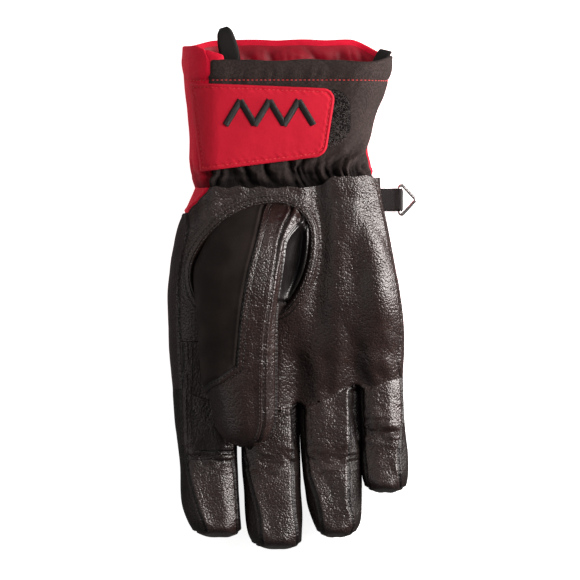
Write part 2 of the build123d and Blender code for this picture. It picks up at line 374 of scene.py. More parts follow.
FINGER_STEP = 9.0
LEVELS = 3
LEATHER_THICK = 1.3


def outline_half(x0, x1, z_mid, z_far, corner, crown, count=24):
    """Half of a rounded box's outline from (x0, z_mid) over z_far to (x1, z_mid)."""
    up = 1 if z_far > z_mid else -1
    corner = min(corner, (x1 - x0) / 2 - 0.5, abs(z_far - z_mid))
    angle = np.linspace(0, np.pi / 2, count)
    near, far = corner * (1 - np.cos(angle)), corner * (1 - np.sin(angle))
    left = np.column_stack([x0 + near, z_far - up * far])
    right = np.column_stack([x1 - far, z_far - up * near])
    flat = np.linspace(x0 + corner, x1 - corner, count)[1:-1]
    top = np.column_stack([flat, np.full(len(flat), z_far)])
    path = np.vstack([[x0, z_mid], left, top, right, [x1, z_mid]])
    half = (x1 - x0) / 2
    path[:, 1] += up * crown * np.clip(1 - ((path[:, 0] - (x0 + x1) / 2) / half) ** 2, 0, 1)
    return path


def section(x0, x1, z_low, z_high, corner, crown, palm_xs, back_xs, side):
    """A ring of points round a rounded box: palm, right side, back, left side."""
    z_mid = (z_low + z_high) / 2
    palm = outline_half(x0, x1, z_mid, z_high, corner, crown)
    back = outline_half(x0, x1, z_mid, z_low, corner, crown * 0.4)

    def on(path, xs):
        return np.column_stack([xs, np.interp(xs, path[:, 0] + 1e-9 * np.arange(len(path)), path[:, 1])])

    palm_points, back_points = on(palm, np.asarray(palm_xs)), on(back, np.asarray(back_xs))

    def wall(start, end, sign):
        upper = palm[(palm[:, 0] - start[0]) * sign > 0]
        lower = back[(back[:, 0] - end[0]) * sign > 0]
        upper = upper if sign > 0 else upper[::-1]
        lower = lower[::-1] if sign > 0 else lower
        path = np.vstack([[start], upper, lower, [end]])
        return resample(path, side + 1)[1:-1]

    right = wall(palm_points[-1], back_points[-1], 1)
    left = wall(palm_points[0], back_points[0], -1)
    return np.vstack([palm_points, right, back_points[::-1], left[::-1]])


def finger_middle(name, y):
    """Height of a finger's centre line."""
    joint = HINGE[name][1]
    root = CROTCH_Y[FINGER_NAMES.index(name)]
    bend = np.logaddexp(0, (joint - y) / 4.0) * 4.0
    return FINGER_ROOT_Z + (root - y) * ROOT_RISE + bend * (TIP_RISE - ROOT_RISE)


def finger_ring(name, y, inset=0.0):
    """A finger's ring of 14 points at y, pulled in all round by inset."""
    x0, x1, left_in, right_in = track(FINGER_OUTLINE[name], y)
    height = FINGER_HEIGHT[name] / 2 - inset * 0.8
    middle = float(finger_middle(name, y))
    palm_xs = np.linspace(x0 + left_in, x1 - right_in, 5)
    back_xs = np.linspace(x0 + 2.5, x1 - 2.5, 5)
    ring = section(x0, x1, middle - height, middle + height, FINGER_CORNER, 1.0, palm_xs, back_xs, 3)
    return np.column_stack([ring[:, 0], np.full(len(ring), y), ring[:, 1]])


def hand_ring(y):
    """The hand's ring of 17 palm, 2 side, 17 back and 2 side points at y."""
    x0, c1, c2, c3, x1, z_low, z_high, corner = track(HAND_OUTLINE, y)
    near = smooth(-25, -62, y)
    first = x0 + INDEX_SEAM_IN - 0.5 * near - 3.4 * smooth(34, 43, y) + 4.4 * smooth(44, 57.5, y)
    last = x1 - LITTLE_SEAM_IN
    palm_marks = [first, c1, c2, c3, last]
    back_marks = [x0 + BACK_SEAM_IN, c1, c2, c3, x1 - BACK_SEAM_IN]
    across = [np.linspace(m[i], m[i + 1], 5)[:-1] for m in (palm_marks, back_marks) for i in range(4)]
    palm_xs = np.concatenate(across[:4] + [[last]])
    back_xs = np.concatenate(across[4:] + [[back_marks[-1]]])
    ring = section(x0, x1, z_low, z_high, corner, 1.5, palm_xs, back_xs, 3)
    dip = 6.5 * smooth(-14, -60, y) ** 1.5
    for column in (4, 8, 12):
        ring[column, 1] -= dip
    ys = y + WRIST_RISE * smooth(10, 24, ring[:, 0]) * smooth(48, 57, y)
    return np.column_stack([ring[:, 0], ys, ring[:, 1]])


def hand_cage():
    """The hand and its four fingers as one coarse cage."""
    cage = Cage()
    rings = [[cage.add(p) for p in hand_ring(y)] for y in HAND_ROWS]
    # the last row: the roots of the fingers, with a web between neighbours
    roots = {name: finger_ring(name, CROTCH_Y[i]) for i, name in enumerate(FINGER_NAMES)}
    palm, back, webs = [], [], []
    for i, name in enumerate(FINGER_NAMES):
        ring = roots[name]
        y0, y1 = CROTCH_Y[i], CROTCH_Y[i + 1]
        for k in range(5):
            y = y0 + (y1 - y0) * k / 4
            ring[k, 1] = y
            ring[11 - k, 1] = y
    for i, name in enumerate(FINGER_NAMES):
        for k in range(4 if i < 3 else 5):
            p, b = roots[name][k].copy(), roots[name][11 - k].copy()
            if k == 0 and i > 0:
                before = roots[FINGER_NAMES[i - 1]]
                p = (p + before[4]) / 2
                b = (b + before[7]) / 2
                p[2] = FINGER_ROOT_Z + CROTCH_TOP
                b[2] = FINGER_ROOT_Z + CROTCH_LOW
                y_web = CROTCH_Y[i] + 0.8
                webs.append([cage.add((p[0], y_web, FINGER_ROOT_Z + z)) for z in (WEB_TOP, WEB_LOW)])
            palm.append(cage.add(p))
            back.append(cage.add(b))
    right = [cage.add(p) for p in roots["little"][5:7]]
    left = [cage.add(p) for p in roots["index"][12:14]]
    for point in right:
        cage.points[point][1] = CROTCH_Y[4]
    last = palm + right + back[::-1] + left
    tags = ["palm"] * 16 + ["little_side"] * 3 + ["back"] * 16 + ["index_side"] * 3
    rings.append(last)
    wrist_tags = ["back" if t == "index_side" else t for t in tags]
    for k, (upper, lower) in enumerate(zip(rings, rings[1:])):
        cage.band(upper, lower, wrist_tags if k < 2 else tags)
    for i, name in enumerate(FINGER_NAMES):
        wall_left = left if i == 0 else webs[i - 1][::-1]
        wall_right = right if i == 3 else webs[i]
        ring = palm[4 * i: 4 * i + 5] + wall_right + back[4 * i: 4 * i + 5][::-1] + wall_left
        tags = [name + "_front"] * 4 + [name + "_wall"] * 3 + [name + "_back"] * 4 + [name + "_wall"] * 3
        y_end = FINGER_OUTLINE[name][-1][0]
        y_start = min(CROTCH_Y[i], CROTCH_Y[i + 1])
        full_end = y_end + TIP_ROUND
        steps = int(round((y_start - full_end) / FINGER_STEP))
        slant = np.linspace(CROTCH_Y[i], CROTCH_Y[i + 1], 5) - ROOT_STEP
        heights = [*slant, slant[-1], slant[-1], *slant[::-1], slant[0], slant[0]]
        lower = [cage.add(finger_ring(name, y)[k]) for k, y in enumerate(heights)]
        cage.band(ring, lower, tags)
        ring = lower
        for y in np.linspace(y_start, full_end, steps + 1)[1:]:
            lower = [cage.add(p) for p in finger_ring(name, y)]
            cage.band(ring, lower, tags)
            ring = lower
        y = y_end + TIP_ROUND * 0.3
        lower = [cage.add(p) for p in finger_ring(name, y, TIP_ROUND * 0.3)]
        cage.band(ring, lower, tags)
        end = finger_ring(name, y_end, TIP_ROUND * 0.5)
        centres = []
        for k in (1, 2):
            row = end[[-k, 5 + k - 1]]
            xs = np.linspace(row[0][0], row[1][0], 5)[1:-1]
            centres.append([(x, y_end, (row[0][2] + row[1][2]) / 2) for x in xs])
        cage.cap(lower, 4, 3, centres, [name + "_front", name + "_front", name + "_back"])
    return cage


# ---------------------------------------------------------------- the thumb

# along the thumb: y, then x and z round its section at the left seam, the suede's middle, the seams from
# suede to strip and from strip to side, the side's edge, the gusset's middle and the right seam, then floor
THUMB_OUTLINE = [
    (49.0, -26.0, 42.0, -20.0, 45.0, -16.5, 45.3, -4.0, 45.3, -2.5, 45.0, 0.0, 44.0, 2.0, 42.0, 38.0),
    (45.5, -31.5, 45.0, -25.5, 48.4, -18.4, 49.4, -1.8, 48.6, 1.2, 47.4, 2.8, 46.4, 4.8, 45.0, 34.0),
    (39.0, -42.0, 46.0, -31.5, 53.4, -19.8, 56.4, -4.2, 54.6, 3.8, 49.4, 6.2, 46.8, 8.4, 46.0, 30.0),
    (30.0, -48.8, 46.0, -36.5, 58.6, -21.8, 62.4, -8.0, 60.0, -4.0, 56.4, 3.2, 45.4, 8.9, 46.0, 27.0),
    (20.0, -54.0, 45.8, -41.0, 61.8, -24.2, 66.3, -9.9, 63.6, -6.0, 58.0, 1.8, 44.6, 8.0, 45.6, 26.0),
    (10.0, -57.4, 45.3, -43.8, 63.4, -26.7, 68.4, -11.9, 65.4, -7.6, 58.2, 0.2, 44.2, 5.8, 45.0, 26.0),
    (0.0, -57.6, 46.5, -45.0, 64.0, -28.6, 69.4, -13.3, 66.2, -9.0, 57.6, -2.6, 44.6, 1.2, 43.8, 29.0),
    (-10.0, -56.6, 48.6, -45.6, 63.8, -30.2, 69.0, -14.7, 65.8, -10.2, 57.0, -7.0, 46.0, -5.5, 42.5, 35.0),
    (-20.0, -55.8, 50.0, -45.6, 63.0, -31.4, 67.8, -16.3, 64.8, -10.8, 56.0, -10.8, 48.4, -12.5, 43.4, 40.5),
    (-36.0, -54.2, 49.6, -45.4, 61.0, -32.8, 65.2, -17.5, 62.4, -10.9, 53.6, -11.2, 47.4, -14.0, 42.4, 39.8),
    (-50.0, -51.4, 47.0, -44.0, 58.6, -33.6, 62.4, -17.8, 60.0, -10.9, 50.8, -11.2, 44.6, -14.5, 39.8, 37.2),
    (-66.0, -47.8, 44.4, -41.6, 55.6, -32.2, 59.2, -17.8, 56.8, -10.9, 48.2, -11.2, 42.4, -14.5, 37.4, 34.8),
    (-78.0, -45.2, 44.0, -39.4, 53.4, -31.0, 56.6, -18.2, 54.2, -12.0, 47.0, -12.4, 42.4, -15.4, 38.0, 35.6),
    (-90.5, -38.0, 45.0, -35.0, 50.4, -29.5, 52.2, -21.5, 50.8, -18.0, 47.0, -18.2, 44.6, -20.0, 41.0, 39.4),
]
THUMB_ROWS = [
    49.0, 45.5, 40.0, 33.5, 26.0, 17.5, 9.0, 0.5, -8.0, -16.5, -26.0, -36.0, -46.0, -56.0, -66.0, -75.0,
    -82.0,
]
THUMB_SPANS = [2, 3, 3, 1, 2, 2]
THUMB_END = -90.5
THUMB_CAP_ROW = 12
THUMB_CAP_SLANT = (-10.5, 1.5)
GUSSET_END = -12.0
GUSSET_ROLL = 2.4


def closed_track(anchors, counts):
    """Points on a smooth closed curve through anchors, with that many steps from each to the next."""
    p = np.asarray(anchors, float)
    wrapped = np.vstack([p[-3:], p, p[:4]])
    s = np.concatenate([[0], np.cumsum(np.linalg.norm(np.diff(wrapped, axis=0), axis=1))])
    table = np.column_stack([s, wrapped])
    out = []
    for k, count in enumerate(counts):
        fine = track(table, np.linspace(s[k + 3], s[k + 4], 40))
        out.append(resample(fine, count + 1)[:-1])
    return np.vstack(out)


def thumb_ring(y, inset=0.0):
    """The thumb's ring of 30 points: 13 steps over the top, 2 down, 13 under and 2 up."""
    row = track(THUMB_OUTLINE, y)
    anchors = row[:14].reshape(7, 2)
    floor = row[14]
    right, left = anchors[6], anchors[0]
    under = [(right[0] - 4.5, floor), (left[0] + 8.0, floor)]
    ring = closed_track(np.vstack([anchors, under]), THUMB_SPANS + [2, 13, 2])
    middle = ring.mean(axis=0)
    away = ring - middle
    reach = np.linalg.norm(away, axis=1, keepdims=True)
    ring = middle + away * (1 - inset / reach)
    return np.column_stack([ring[:, 0], np.full(len(ring), y), ring[:, 1]])


def thumb_cage():
    """The thumb's shell, from where it is set in the palm to its tip."""
    cage = Cage()
    top = ["thumb_suede"] * 5 + ["thumb_strip"] * 3 + ["thumb_side"]
    rest = ["thumb_under"] * 17
    ring = None
    for r, y in enumerate(THUMB_ROWS):
        points = thumb_ring(y)
        slant = bump(r, THUMB_CAP_ROW, 1.1)
        corners = [*THUMB_CAP_SLANT, 0, 0, 0, 0, THUMB_CAP_SLANT[0]]
        shift = np.interp(np.arange(30), [0, 5, 9, 13, 15, 28, 30], corners)
        points[:, 1] += slant * shift
        lower = [cage.add(p) for p in points]
        if ring:
            tags = list(top)
            if r > THUMB_CAP_ROW:
                tags[:5] = ["thumb_strip"] * 5
            side = "thumb_gusset" if y > GUSSET_END else "thumb_under"
            cage.band(ring, lower, tags + [side] * 4 + rest)
        ring = lower
    round_y = THUMB_END + 2.6
    tags = ["thumb_strip"] * 8 + ["thumb_side"] + ["thumb_under"] * 21
    lower = [cage.add(p) for p in thumb_ring(round_y, 2.2)]
    cage.band(ring, lower, tags)
    end = thumb_ring(THUMB_END, 4.0)
    row = end[[-1, 14]]
    xs = np.linspace(row[0][0], row[1][0], 14)[1:-1]
    zs = np.linspace(row[0][2], row[1][2], 14)[1:-1]
    cage.cap(lower, 13, 2, [[(x, THUMB_END, z) for x, z in zip(xs, zs)]], ["thumb_strip", "thumb_under"])
    return cage


# ---------------------------------------------------------------- materials

class Shader:
    """A Principled material with a few helpers for its nodes."""

    def __init__(self, name, **values):
        self.material = bpy.data.materials.new(name)
        self.material.use_nodes = True
        self.tree = self.material.node_tree
        self.main = self.tree.nodes["Principled BSDF"]
        for key, value in values.items():
            self.main.inputs[key.replace("_", " ")].default_value = value
        self.place = self.node("ShaderNodeTexCoord").outputs["Object"]
        self.height = None

    def node(self, kind, inputs=(), **settings):
        made = self.tree.nodes.new(kind)
        for key, value in settings.items():
            setattr(made, key, value)
        for key, value in dict(inputs).items():
            self.feed(made.inputs[key], value)
        return made

    def feed(self, socket, value):
        if isinstance(value, bpy.types.NodeSocket):
            self.tree.links.new(value, socket)
        else:
            socket.default_value = value

    def math(self, operation, a, b=0.0):
        made = self.node("ShaderNodeMath", operation=operation)
        for socket, value in zip(made.inputs, (a, b)):
            self.feed(socket, value)
        return made.outputs[0]

    def remap(self, value, low, high, to_low=0.0, to_high=1.0):
        names = ("Value", "From Min", "From Max", "To Min", "To Max")
        values = zip(names, (value, low, high, to_low, to_high))
        return self.node("ShaderNodeMapRange", values, interpolation_type="SMOOTHSTEP").outputs[0]

    def noise(self, scale, detail=3.0, rough=0.5, place=None):
        given = {"Vector": place or self.place, "Scale": scale, "Detail": detail, "Roughness": rough}
        return self.node("ShaderNodeTexNoise", given).outputs["Fac"]

    def stretched(self, x, y, z, turn=(0, 0, 0)):
        given = {"Vector": self.place, "Scale": (x, y, z), "Rotation": turn}
        return self.node("ShaderNodeMapping", given).outputs["Vector"]

    def blend(self, amount, a, b):
        made = self.node("ShaderNodeMix", data_type="RGBA")
        for socket, value in zip((made.inputs[0], made.inputs[6], made.inputs[7]), (amount, a, b)):
            self.feed(socket, value)
        return made.outputs[2]

    def field(self, name):
        return self.node("ShaderNodeAttribute", attribute_name=name).outputs["Fac"]

    def colour(self, value):
        self.feed(self.main.inputs["Base Color"], value)

    def rough(self, value):
        self.feed(self.main.inputs["Roughness"], value)

    def raise_by(self, height, millimetres, strength=1.0):
        """Adds a layer of bump that deep."""
        given = {"Height": height, "Distance": millimetres * MM, "Strength": strength}
        made = self.node("ShaderNodeBump", given)
        if self.height:
            self.tree.links.new(self.height, made.inputs["Normal"])
        self.height = made.outputs["Normal"]
        self.feed(self.main.inputs["Normal"], self.height)


STITCH_ROWS = (1.2, 3.9)
GRAIN_SCALE, PORE_SCALE, GRAIN_WARP = 900.0, 1900.0, 0.0012
GRAIN_HEIGHT, PORE_HEIGHT, GROOVE_DEPTH, PUCKER_HEIGHT = 0.33, 0.05, 0.40, 0.03
# painted shade colours: one for the crevices of the grain, one for the stitch rows and the seams
CREVICE_SHADE, SHADOW = (0.003, 0.002, 0.002, 1), (0.002, 0.0015, 0.0015, 1)


def leather(name, light, dark, roughness, grain=1.0, gloss=0.5):
    """Pebbled leather that darkens and puckers at its seams."""
    s = Shader(name, Specular_IOR_Level=gloss)
    warp = s.node("ShaderNodeTexNoise", {"Vector": s.place, "Scale": 260.0, "Detail": 2.0})
    mixed = s.node("ShaderNodeMix", data_type="VECTOR")
    for index, value in ((0, GRAIN_WARP), (4, s.place), (5, warp.outputs["Color"])):
        s.feed(mixed.inputs[index], value)
    place = mixed.outputs[1]
    grain_place = {"Vector": place, "Scale": GRAIN_SCALE}
    pebble = s.node("ShaderNodeTexVoronoi", grain_place, feature="DISTANCE_TO_EDGE")
    dome = s.node("ShaderNodeTexVoronoi", grain_place).outputs["Distance"]
    fine = s.node("ShaderNodeTexVoronoi", {"Vector": place, "Scale": PORE_SCALE}).outputs["Distance"]
    large_tone = s.noise(38.0, 3.0)
    tone = s.noise(210.0, 5.0, 0.6)
    seam = s.field("seam")
    near = s.remap(seam, 0.18, 0.95)
    base = s.blend(s.remap(large_tone, 0.3, 0.7, 0.25, 0.75), dark, light)
    base = s.blend(s.remap(tone, 0.3, 0.75, 0.0, 0.4), base, light)
    cells = s.remap(pebble.outputs["Distance"], 0.0, 0.22)
    # painted shade: darker in the crevices between the grain's pebbles
    base = s.blend(s.math("MULTIPLY", s.math("SUBTRACT", 1.0, cells), 0.7), base, CREVICE_SHADE)
    rows = [s.math("ABSOLUTE", s.math("SUBTRACT", s.field("row"), at)) for at in STITCH_ROWS]
    sunk = s.remap(s.math("MINIMUM", *rows), 0.14, 0.55, 1.0, 0.0)
    base = s.blend(s.math("MULTIPLY", sunk, 0.85), base, SHADOW)
    s.colour(s.blend(s.math("SUBTRACT", 1.0, near), base, SHADOW))
    s.rough(s.remap(s.noise(130.0, 4.0, 0.65), 0.3, 0.75, roughness - 0.03, roughness + 0.06))
    patchy = s.remap(s.noise(45.0, 2.0), 0.3, 0.7, 0.65, 1.0)
    round_top = s.math("MULTIPLY", s.math("MULTIPLY", dome, dome), -1.0)
    s.raise_by(s.math("MULTIPLY", round_top, patchy), GRAIN_HEIGHT * grain)
    s.raise_by(s.math("MULTIPLY", fine, -1.0), PORE_HEIGHT * grain)
    s.raise_by(s.noise(170.0, 3.0, 0.5), 0.22, 0.5)
    s.raise_by(s.math("SUBTRACT", 1.0, sunk), GROOVE_DEPTH)
    ripple = s.math("SINE", s.math("MULTIPLY", s.field("along"), 2 * math.pi / 2.7))
    fade = s.remap(seam, 0.3, 2.6, 1.0, 0.0)
    s.raise_by(s.math("MULTIPLY", ripple, fade), PUCKER_HEIGHT)
    return s.material


def cloth(name, light, dark, thread, roughness, gloss, depth=0.08, wash=0.4, mottle=0.25):
    """Woven cloth, with thread that many millimetres apart."""
    s = Shader(name, Specular_IOR_Level=gloss)
    per_metre = 2 * math.pi / (thread * MM)
    parts = s.node("ShaderNodeSeparateXYZ", {"Vector": s.place}).outputs
    warp = s.math("SINE", s.math("MULTIPLY", s.math("ADD", parts[0], parts[2]), per_metre))
    weft = s.math("SINE", s.math("MULTIPLY", s.math("SUBTRACT", parts[1], parts[2]), per_metre))
    weave = s.math("MULTIPLY", warp, weft)
    fibre = s.noise(2600.0, 3.0, 0.7)
    patches = s.noise(55.0, 4.0, 0.6)
    base = s.blend(s.remap(patches, 0.3, 0.7, 0.0, wash), light, dark)
    base = s.blend(s.remap(fibre, 0.35, 0.75, 0.0, 0.5), base, dark)
    base = s.blend(s.remap(s.noise(850.0, 2.0, 0.6), 0.35, 0.65, 0.0, mottle), base, dark)
    base = s.blend(s.remap(weave, -1.0, 1.0, 0.0, 0.22), base, dark)
    deep = tuple(c * 0.22 for c in dark[:3]) + (1,)
    s.colour(s.blend(s.math("MULTIPLY", s.field("shade"), 0.9), base, deep))
    s.rough(s.remap(fibre, 0.2, 0.8, roughness - 0.08, roughness + 0.08))
    s.raise_by(weave, depth, 0.8)
    s.raise_by(fibre, depth * 0.6, 0.8)
    s.raise_by(s.noise(160.0, 3.0, 0.6), 0.35, 0.5)
    return s.material


def fuzzy(name, light, dark, scale, depth, roughness=0.95, glint_speck=0.0):
    """Suede, fleece, pile or felt: a matt surface of short fibres."""
    s = Shader(name, Specular_IOR_Level=0.12)
    fibre = s.noise(scale, 5.0, 0.75)
    patches = s.noise(70.0, 3.0)
    base = s.blend(s.remap(patches, 0.3, 0.7), dark, light)
    base = s.blend(s.remap(fibre, 0.35, 0.7, 0.0, 0.6), base, dark)
    # painted highlights: light specks over the dark base stand in for glints on the fibres
    if glint_speck:
        dots = s.node("ShaderNodeTexVoronoi", {"Vector": s.place, "Scale": 1500.0}).outputs["Distance"]
        base = s.blend(s.remap(dots, 0.10, 0.20, glint_speck, 0.0), base, (0.16, 0.13, 0.13, 1))
    s.colour(base)
    s.rough(roughness)
    s.raise_by(fibre, depth, 0.9)
    return s.material


RIB_PITCH = 0.9


def webbing(name, colour):
    """Ribbed polyester tape."""
    s = Shader(name, Roughness=0.62, Specular_IOR_Level=0.25)
    parts = s.node("ShaderNodeSeparateXYZ", {"Vector": s.place}).outputs
    rows = s.math("SINE", s.math("MULTIPLY", parts[1], 2 * math.pi / (RIB_PITCH * MM)))
    slanted = s.math("ADD", parts[0], parts[2])
    cols = s.math("SINE", s.math("MULTIPLY", slanted, 2 * math.pi / (RIB_PITCH * 1.6 * MM)))
    weave = s.math("MULTIPLY", rows, cols)
    darker = tuple(c * 0.35 for c in colour[:3]) + (1,)
    s.colour(s.blend(s.remap(weave, -1.0, 1.0), darker, colour))
    s.raise_by(weave, 0.16, 0.9)
    s.raise_by(s.noise(2400.0, 2.0), 0.05, 0.8)
    return s.material


def thread(name, light, dark):
    """Twisted sewing thread."""
    s = Shader(name, Roughness=0.45, Specular_IOR_Level=0.4)
    twist = s.node("ShaderNodeTexWave", {"Vector": s.stretched(1, 1, 1, (0.5, 0.4, 0.8)), "Scale": 900.0})
    s.colour(s.blend(twist.outputs["Fac"], dark, light))
    s.raise_by(twist.outputs["Fac"], 0.06, 0.8)
    return s.material


def metal(name):
    """Polished dark nickel with fine scratches and a duller, handled look in patches."""
    s = Shader(name, Metallic=1.0)
    scratch = s.noise(900.0, 3.0, 0.7, s.stretched(1, 6, 1))
    patch = s.noise(160.0, 3.0)
    s.colour(s.blend(s.remap(patch, 0.35, 0.7), (0.62, 0.60, 0.60, 1), (0.30, 0.29, 0.29, 1)))
    s.rough(s.remap(scratch, 0.3, 0.7, 0.16, 0.34))
    s.raise_by(scratch, 0.01, 0.6)
    return s.material


def rgb(red, green, blue):
    return (red, green, blue, 1)


BROWN_BLACK, DEEP_BLACK = rgb(0.029, 0.0145, 0.0120), rgb(0.0115, 0.006, 0.0052)
# painted shade: the finger walls and the thumb's underside get a darker leather so the gaps between the
# fingers stay dark
SHADED_WALL_BROWN, SHADED_WALL_DEEP = rgb(0.014, 0.008, 0.007), rgb(0.006, 0.0035, 0.0035)
SUEDE_LIGHT, SUEDE_DARK = rgb(0.021, 0.0155, 0.0138), rgb(0.0125, 0.0095, 0.0085)
GUSSET_LIGHT, GUSSET_DARK = rgb(0.007, 0.0045, 0.0045), rgb(0.003, 0.002, 0.002)
RED, DARK_RED = rgb(0.64, 0.004, 0.030), rgb(0.42, 0.002, 0.017)
TAB_RED, TAB_DARK_RED = rgb(0.52, 0.007, 0.026), rgb(0.36, 0.004, 0.016)
SATIN_RED, SATIN_DARK_RED = rgb(0.33, 0.0015, 0.016), rgb(0.16, 0.001, 0.007)
GREY, DARK_GREY = rgb(0.047, 0.034, 0.032), rgb(0.015, 0.0105, 0.0097)
BLACK, SOFT_BLACK = rgb(0.010, 0.009, 0.009), rgb(0.022, 0.020, 0.020)
PILE_BASE, PILE_DARK = rgb(0.006, 0.0045, 0.0045), rgb(0.002, 0.0015, 0.0015)
MATERIALS = {
    "leather": leather("goatskin", BROWN_BLACK, DEEP_BLACK, 0.34),
    "strip": leather("smooth_goatskin", BROWN_BLACK, DEEP_BLACK, 0.30, 0.85),
    # painted shade: darker leather for the walls between the fingers
    "wall": leather("fourchette_goatskin", SHADED_WALL_BROWN, SHADED_WALL_DEEP, 0.44, 0.9, 0.3),
    "suede": fuzzy("suede", SUEDE_LIGHT, SUEDE_DARK, 1500.0, 0.06),
    "gusset": leather("gusset_leather", GUSSET_LIGHT, GUSSET_DARK, 0.34, 0.35),
    "red": cloth("red_nylon", RED, DARK_RED, 0.55, 0.62, 0.14, 0.05, 0.25),
    "tab": cloth("red_tab", TAB_RED, TAB_DARK_RED, 0.6, 0.7, 0.16, 0.06, 0.25),
    "grey": cloth("grey_softshell", GREY, DARK_GREY, 0.9, 0.85, 0.12, 0.14, 0.4, 0.75),
    "lining": cloth("red_satin", SATIN_RED, SATIN_DARK_RED, 0.35, 0.46, 0.24, 0.02, 0.4),
    "fleece": fuzzy("fleece", SOFT_BLACK, BLACK, 700.0, 0.3),
    "loop": fuzzy("loop_pile", PILE_BASE, PILE_DARK, 1300.0, 0.35, 0.9, 0.6),
    "hook": fuzzy("hook_base", BLACK, rgb(0.004, 0.004, 0.004), 1800.0, 0.1),
    "webbing": webbing("black_webbing", rgb(0.011, 0.009, 0.009)),
    "black_thread": thread("black_thread", rgb(0.008, 0.006, 0.006), rgb(0.002, 0.0015, 0.0015)),
    "brown_thread": thread("brown_thread", rgb(0.085, 0.060, 0.054), rgb(0.026, 0.018, 0.016)),
    "red_thread": thread("red_thread", rgb(0.62, 0.03, 0.03), rgb(0.34, 0.008, 0.012)),
    # painted highlight: the black pile's fibres are coloured light grey so they show as bright specks
    "pile": thread("pile_fibre", rgb(0.16, 0.135, 0.13), rgb(0.035, 0.028, 0.027)),
    "metal": metal("dark_nickel"),
}


# ---------------------------------------------------------------- stitches

def surface_of(verts, faces):
    """A tree of a surface, to place things on it."""
    return BVHTree.FromPolygons([tuple(v) for v in verts], [tuple(int(i) for i in f) for f in faces])


def dropped(surface, xy, height=200.0, up=1):
    """Where lines along Z meet the surface, and its normals there."""
    points, normals = [], []
    for x, y in xy:
        hit = surface.ray_cast(Vector((x, y, up * height)), Vector((0, 0, -up)))
        if hit[0] is not None:
            points.append(hit[0])
            n = hit[1] if hit[1].z * up > 0 else -hit[1]
            normals.append(n)
    return np.array(points), np.array(normals)


def add_tube(verts, faces, centres, sizes, across, ups, around):
    """Adds a closed tube: at each centre a ring of points in the plane of across and that centre's up."""
    base, rings = len(verts), len(centres)
    angles = [2 * math.pi * a / around for a in range(around)]
    for centre, size, up in zip(centres, sizes, ups):
        verts.extend(centre + size * (math.cos(a) * across + math.sin(a) * up) for a in angles)
    for k in range(rings - 1):
        for a in range(around):
            b = (a + 1) % around
            i = base + k * around
            faces.append([i + a, i + b, i + around + b, i + around + a])
    faces.append([base + a for a in reversed(range(around))])
    faces.append([base + (rings - 1) * around + a for a in range(around)])


def stitches(name, points, normals, thread_name, pitch, length, radius, sink=0.05):
    """A row of separate stitches along a line on a surface, each dipping in at its ends."""
    s = np.concatenate([[0], np.cumsum(np.linalg.norm(np.diff(points, axis=0), axis=1))])
    count = max(int(s[-1] / pitch), 1)
    starts = (s[-1] - count * pitch) / 2 + pitch * (np.arange(count) + 0.5)
    verts, faces = [], []
    rings = 5
    sizes = radius * np.array([0.55, 0.95, 1.0, 0.95, 0.55])
    lift = radius * 0.55 - sink - (np.linspace(-1, 1, rings) ** 2) * radius * 1.6
    for at in starts:
        ts = np.linspace(at - length / 2, at + length / 2, rings)
        line = np.stack([np.interp(ts, s, points[:, k]) for k in range(3)], axis=1)
        up = np.array([np.interp(at, s, normals[:, k]) for k in range(3)])
        up = up / max(np.linalg.norm(up), 1e-9)
        ahead = line[-1] - line[0]
        ahead = ahead / max(np.linalg.norm(ahead), 1e-9)
        add_tube(verts, faces, line + up * lift[:, None], sizes, np.cross(ahead, up), [up] * rings, 6)
    return make_object(name, verts, faces, MATERIALS[thread_name])


def bend(obj, name):
    """Bakes the placement of a finger's or the thumb's piece into its mesh."""
    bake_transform(obj)


def settle(obj, slot, *nodes, body="hand", bends=None):
    """A piece rides on one body, or for bends has its placement baked into its mesh, and stands in for CAD
    nodes. The slot is not used.
    """
    if bends:
        bend(obj, bends)
    else:
        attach(obj, body)
    if nodes:
        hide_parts(*nodes)


def offset_line(xy, distance):
    """A planar line moved sideways, to the left of its direction."""
    t = np.gradient(xy, axis=0)
    t /= np.maximum(np.linalg.norm(t, axis=1, keepdims=True), 1e-9)
    return xy + np.column_stack([-t[:, 1], t[:, 0]]) * distance


def chain(edges):
    """The longest unbroken run of vertices through a set of edges."""
    links = {}
    for a, b in edges:
        links.setdefault(a, []).append(b)
        links.setdefault(b, []).append(a)
    best, unused = [], set(links)
    while unused:
        ends = [v for v in unused if len(links[v]) == 1] or sorted(unused)[:1]
        path = [min(ends)]
        unused.discard(path[0])
        while True:
            step = [v for v in links[path[-1]] if v in unused]
            if not step:
                break
            path.append(step[0])
            unused.discard(step[0])
        if len(path) > len(best):
            best = path
    return best


# ---------------------------------------------------------------- the hand's pieces

# the edge of the palm leather round the thumb: x and y
OVAL = [
    (-58.4, 13.0), (-54.2, 22.5), (-47.6, 31.2), (-39.0, 39.0), (-28.5, 44.8), (-17.0, 47.6),
    (-5.6, 47.4), (3.0, 42.6), (7.9, 34.5), (8.8, 24.5), (7.4, 14.0), (4.2, 4.0), (-0.6, -5.0),
    (-6.5, -12.0), (-16.0, -16.0), (-32.0, -17.0), (-47.0, -14.0), (-56.0, -5.0), (-58.8, 4.0),
]
VALLEY_X, VALLEY_DEPTH = 12.4, 4.3
NOT_NEAR = 9.0
WELT_RISE, WELT_EDGE_DIP, OVAL_DROP = 1.1, 0.35, 8.0
# a seam's groove depth, then its swell's height, distance and share of pucker, the pucker's pitch and seeds
HAND_SEAM = (0.9, 0.38, 1.5, 0.5, 6.0, (4.0, 2.0))
# the hand's unevenness: height, size and seed of each layer
HAND_WAVES = ((0.55, 26.0, 3.1), (0.22, 11.0, 8.4), (0.05, 5.0, 1.7))
# soft swells of the palm: height, then centre and width along x and along y
PALM_SWELLS = ((-2.0, 35, 9, 2, 24), (2.4, 50, 11, 2, 48), (1.4, 24, 12, -34, 14))


def oval_line(count=400):
    return resample(closed_track(OVAL, [12] * len(OVAL)), count, closed=True)


def on_plane(xy):
    """Planar points as points in space."""
    return np.column_stack([xy, xy[:, 0] * 0])


